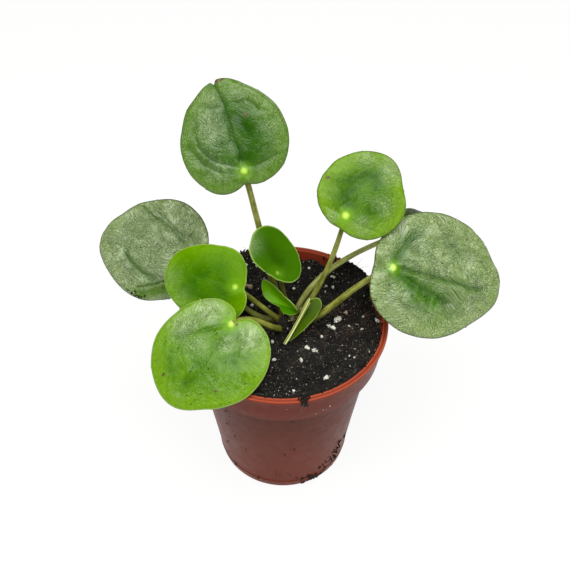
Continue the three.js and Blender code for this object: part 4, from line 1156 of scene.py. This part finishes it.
rng = np.random.default_rng(12)
make_hairs("peat_fibres",
           lying_paths(FIBRE_COUNT, middle=(0, 0), spread=(24, 24), pace=(0.12, 0.6), seed=13),
           rng.uniform(0.04, 0.09, FIBRE_COUNT),
           plain_finish("dry_peat_fibre", "#332b26", "#83766c", size=2.0, roughness=0.7, bumpiness=0.2))
make_hairs("root_hairs",
           lying_paths(ROOT_HAIR_COUNT, middle=(27, 1), spread=(9, 10), pace=(0.3, 0.9), seed=15),
           rng.uniform(0.05, 0.1, ROOT_HAIR_COUNT),
           plain_finish("reddish_root", "#4a2b1e", "#83604a", size=2.0, roughness=0.7, bumpiness=0.2))

# Single hairs: two hang from the clump on the front of the lip, two stand up at the back right and one at the
# back left. Each has the three points of its curve and a radius.
STRAYS = (
    ((8.2, -44.9, 85.6), (7.4, -45.3, 82), (6.2, -44.6, 77.2), 0.07),
    ((8.6, -44.8, 85), (8.9, -45, 82), (8, -44.5, 79.5), 0.05),
    ((33, 29.5, 86.5), (34.5, 31.5, 89), (36.5, 32.5, 90.5), 0.08),
    ((34, 28.5, 86.5), (37, 30, 87.8), (39.5, 29.5, 87.3), 0.07),
    ((-15.5, 40, 86.5), (-17, 41.5, 88.5), (-19, 41, 89), 0.07),
)
stray_turn = np.linspace(0, 1, 12)[:, None]
stray_paths = [(1 - stray_turn) ** 2 * np.array(a) + 2 * stray_turn * (1 - stray_turn) * np.array(b)
               + stray_turn ** 2 * np.array(c) for a, b, c, _ in STRAYS]
make_hairs("stray_roots", np.array(stray_paths), np.array([row[3] for row in STRAYS]),
           plain_finish("pale_root_hair", "#7a6246", "#b59c78", size=2.0, roughness=0.6, bumpiness=0.2))

# Dirt on the outside of the pot: azimuth, height and size of each crumb, the larger ones in a smear.
DIRT = (
    (-38, 22.5, 0.8), (-34, 15, 0.5), (-38, 17, 0.7), (-38, 8.5, 0.6), (-51, 13, 0.5), (-57, 10.5, 0.7),
    (-68, 6.5, 0.5), (-65, 3.5, 0.8), (-74, 6, 0.5), (-84, 12, 0.3), (-112, 5.5, 0.4), (-137, 5.5, 0.4),
    (-145, 12, 0.3), (-134, 45, 0.3), (-131, 58, 0.4), (-84, 63.5, 0.35), (-82, 37.5, 0.3), (-89, 33, 0.3),
    (-29, 21, 0.6), (-38, 13, 0.6), (-44, 10.5, 0.6), (-54, 12, 0.4), (-78, 8, 0.35), (-72, 6, 0.5),
    (-96, 13, 0.3), (-93, 11.5, 0.3), (-120, 30, 0.25), (-128, 38, 0.25), (-140, 25, 0.3), (-100, 62, 0.2),
    (-60, 52, 0.2), (120, 20, 0.4), (100, 8, 0.5), (60, 6, 0.6), (25, 12, 0.4), (170, 9, 0.4),
)
# Outside of the wall: its heights, and its radius at each
WALL_HEIGHTS = (0, 1.2, STEP_HEIGHT - 0.4, STEP_HEIGHT, COLLAR_FOOT, COLLAR_FOOT + 0.1, LIP_FOOT)
WALL_RADII = (BASE_RADIUS, BASE_RADIUS + 1.1, BODY_FOOT_RADIUS - 0.15, BODY_FOOT_RADIUS - 0.4,
              BODY_TOP_RADIUS, COLLAR_RADIUS, LIP_RADIUS - 0.75)


def on_wall(azimuth, height):
    """Places on the outside of the pot's wall, sunk a little so that a crumb there is stuck to it."""
    radius = np.interp(height, WALL_HEIGHTS, WALL_RADII) + 0.05
    turn = np.radians(azimuth)
    return np.stack([radius * np.cos(turn), radius * np.sin(turn), height], axis=-1)


rng = np.random.default_rng(16)
dirt = np.array(DIRT)
# Each crumb has six small ones near it, and two smears of fine ones lie at the front right foot.
near = np.repeat(dirt, 6, axis=0)
near[:, 0] += rng.normal(0, 2.2, len(near))
near[:, 1] = np.clip(near[:, 1] + rng.normal(0, 1.6, len(near)), 0.4, 83)
near[:, 2] *= rng.uniform(0.15, 0.5, len(near))
smears = np.stack([np.r_[rng.normal(-63, 6, 90), rng.normal(-42, 5, 50)],
                   np.clip(np.r_[rng.normal(4.5, 1.8, 90), rng.normal(13, 5, 50)], 0.4, 30),
                   mostly_small(rng, 140, 0.15, 0.4)], axis=-1)
dirt = np.concatenate([dirt, near, smears])
scatter("pot_dirt", on_wall(dirt[:, 0], dirt[:, 1]), dirt[:, 2], loose_crumbs, seed=17)
SPECKS = (
    (-72, 73.5, 0.3), (-68, 74.5, 0.25), (-64, 75.5, 0.25), (-66, 74, 0.2), (-88, 80, 0.15), (-46, 60, 0.15),
)
specks = np.array(SPECKS)
scatter("pot_specks", on_wall(specks[:, 0], specks[:, 1]), specks[:, 2],
        plain_finish("perlite_speck", "#b9b6aa", "#efeee6", size=0.5, roughness=0.8, bumpiness=0.3),
        seed=18)


# Stem

def make_stem():
    """The short stem: a lumpy cylinder with a rounded top, ringed by leaf scars."""
    sides = 48
    heights = np.linspace(SOIL_LEVEL - 25, STEM_TOP - 0.1, 90)
    angle = np.linspace(0, FULL_TURN, sides, endpoint=False)
    dome = np.sqrt(np.clip((STEM_TOP - heights) / 3.4, 0, 1))
    ringed = 1 + 0.05 * np.sin(heights * 2.6)
    lumps = 1 + 0.09 * soft_noise(angle[None] * 3 + 20, heights[:, None], 1.3, 51)
    radius = (STEM_RADIUS - 0.1) * (dome * ringed)[:, None] * lumps
    rings = np.stack([STEM_PLACE[0] + radius * np.cos(angle), STEM_PLACE[1] + radius * np.sin(angle),
                      np.repeat(heights[:, None], sides, axis=1)], axis=-1)
    points, faces = capped_tube(rings, (*STEM_PLACE, heights[0]), (*STEM_PLACE, STEM_TOP))
    skin = plain_finish(
        "green_brown_young_bark", "#38391a", "#6e7134", size=1.2, roughness=0.6, bumpiness=0.5)
    make_piece("plant_stem", points, faces, skin, ["stem"])


def make_stipules():
    """Dry papery scales on the stem, between the stalks: each is a sheet that tapers to a tip on the curve
    1 - t squared, cupped across and bent outwards on a circle as it rises, with a thickness of its own."""
    # Azimuth and height of the foot, length, width, outward bend in degrees
    scales = (
        (-100, 84.5, 3.4, 1.5, 60), (-55, 85.5, 3.2, 1.4, 35), (-140, 85, 2.8, 1.3, 75),
        (20, 85.5, 3.2, 1.5, 50), (100, 85, 3.0, 1.4, 55), (-75, 86.2, 2.6, 1.1, 20),
        (-20, 84.8, 2.6, 1.2, 85), (170, 85.5, 3, 1.3, 45),
    )
    t, s = np.meshgrid(np.linspace(0, 1, 11), np.linspace(-1, 1, 7), indexing="ij")
    points, faces = [], []
    for number, (azimuth, height, length, width, bend) in enumerate(scales):
        bent = math.radians(bend) * t + 0.15
        out = STEM_RADIUS - 0.4 + length * np.sin(bent / 2) * t
        out = out + 0.3 * soft_noise(3 * t, 3 * s, 1.3, 60 + number)
        up = height + length * np.cos(bent / 2) * t
        side = width * (1 - t ** 2) * s
        out = out - 0.5 * s ** 2 * width
        spin = math.radians(azimuth)
        front = np.stack([STEM_PLACE[0] + out * math.cos(spin) - side * math.sin(spin),
                          STEM_PLACE[1] + out * math.sin(spin) + side * math.cos(spin), up], axis=-1)
        scale_points, scale_faces = sheet(front, 0.08)
        faces += (scale_faces + len(scale_points) * number).tolist()
        points.append(scale_points)
    paper = plain_finish("papery_stipule", "#8f8a52", "#cfcb9a", size=1.0, roughness=0.6, bumpiness=0.4)
    make_piece("stipules", np.concatenate(points), faces, paper)


make_stem()
make_stipules()


# Stage, in metres

VIEW_FROM = (0, -0.24228, 0.35227)
VIEW_AT = (0.0009, 0, 0.1059)


def make_stage():
    """A plain white floor under the pot, seen as paper white."""
    mesh = bpy.data.meshes.new("floor")
    far, low = 4.0, -0.0004
    corners = [(-far, -far, low), (far, -far, low), (far, far, low), (-far, far, low)]
    mesh.from_pydata(corners, [], [(0, 1, 2, 3)])
    floor = bpy.data.objects.new("floor", mesh)
    bpy.context.scene.collection.objects.link(floor)
    material, tree = new_finish("white_paper")
    shader = add(tree, "ShaderNodeBsdfPrincipled", {
        "Base Color": (0.1, 0.1, 0.1, 1), "Roughness": 0.9,
        "Emission Color": (1, 1, 1, 1), "Emission Strength": 0.9}, 0)
    add(tree, "ShaderNodeOutputMaterial", (shader,))
    mesh.materials.append(material)


def make_light(name, place, target, width, height, power):
    """A rectangular soft light, a little warm, that looks at its target, its width level."""
    data = bpy.data.lights.new(name, "AREA")
    data.shape, data.size, data.size_y, data.energy = "RECTANGLE", width, height, power
    data.color = (1.0, 0.985, 0.93)
    lamp = bpy.data.objects.new(name, data)
    bpy.context.scene.collection.objects.link(lamp)
    lamp.location = place
    aim = Vector(target) - Vector(place)
    lamp.rotation_euler = aim.to_track_quat("-Z", "Y").to_euler()


def make_camera():
    """The photograph's view: from the front, about 45 degrees above, with the lens that fits its
    perspective."""
    data = bpy.data.cameras.new("camera")
    data.sensor_width, data.lens = 36, 53.15
    camera = bpy.data.objects.new("camera", data)
    bpy.context.scene.collection.objects.link(camera)
    camera.location = VIEW_FROM
    aim = Vector(VIEW_AT) - camera.location
    camera.rotation_euler = aim.to_track_quat("-Z", "Y").to_euler()
    data.clip_start, data.clip_end = 0.01, 20
    bpy.context.scene.camera = camera


make_stage()
make_camera()
make_light("overhead_softbox", place=(0.0, -0.33, 1.1), target=(0.0, -0.33, 0), width=1.55, height=1.0,
           power=20)
world = bpy.data.worlds.new("studio")
bpy.context.scene.world = world
world.use_nodes = True
sky_tree = world.node_tree
sky_tree.nodes.clear()
# The sky is white where the camera sees it, and dimmer as a light.
seen = add(sky_tree, "ShaderNodeLightPath", (), "Is Camera Ray")
strength = add(sky_tree, "ShaderNodeMapRange", {"Value": seen, 3: 0.15, 4: 0.98}, 0)
sky = add(sky_tree, "ShaderNodeBackground", {"Color": (1, 1, 1, 1), "Strength": strength}, 0)
add(sky_tree, "ShaderNodeOutputWorld", (sky,))
bpy.context.scene.view_settings.view_transform = "Standard"
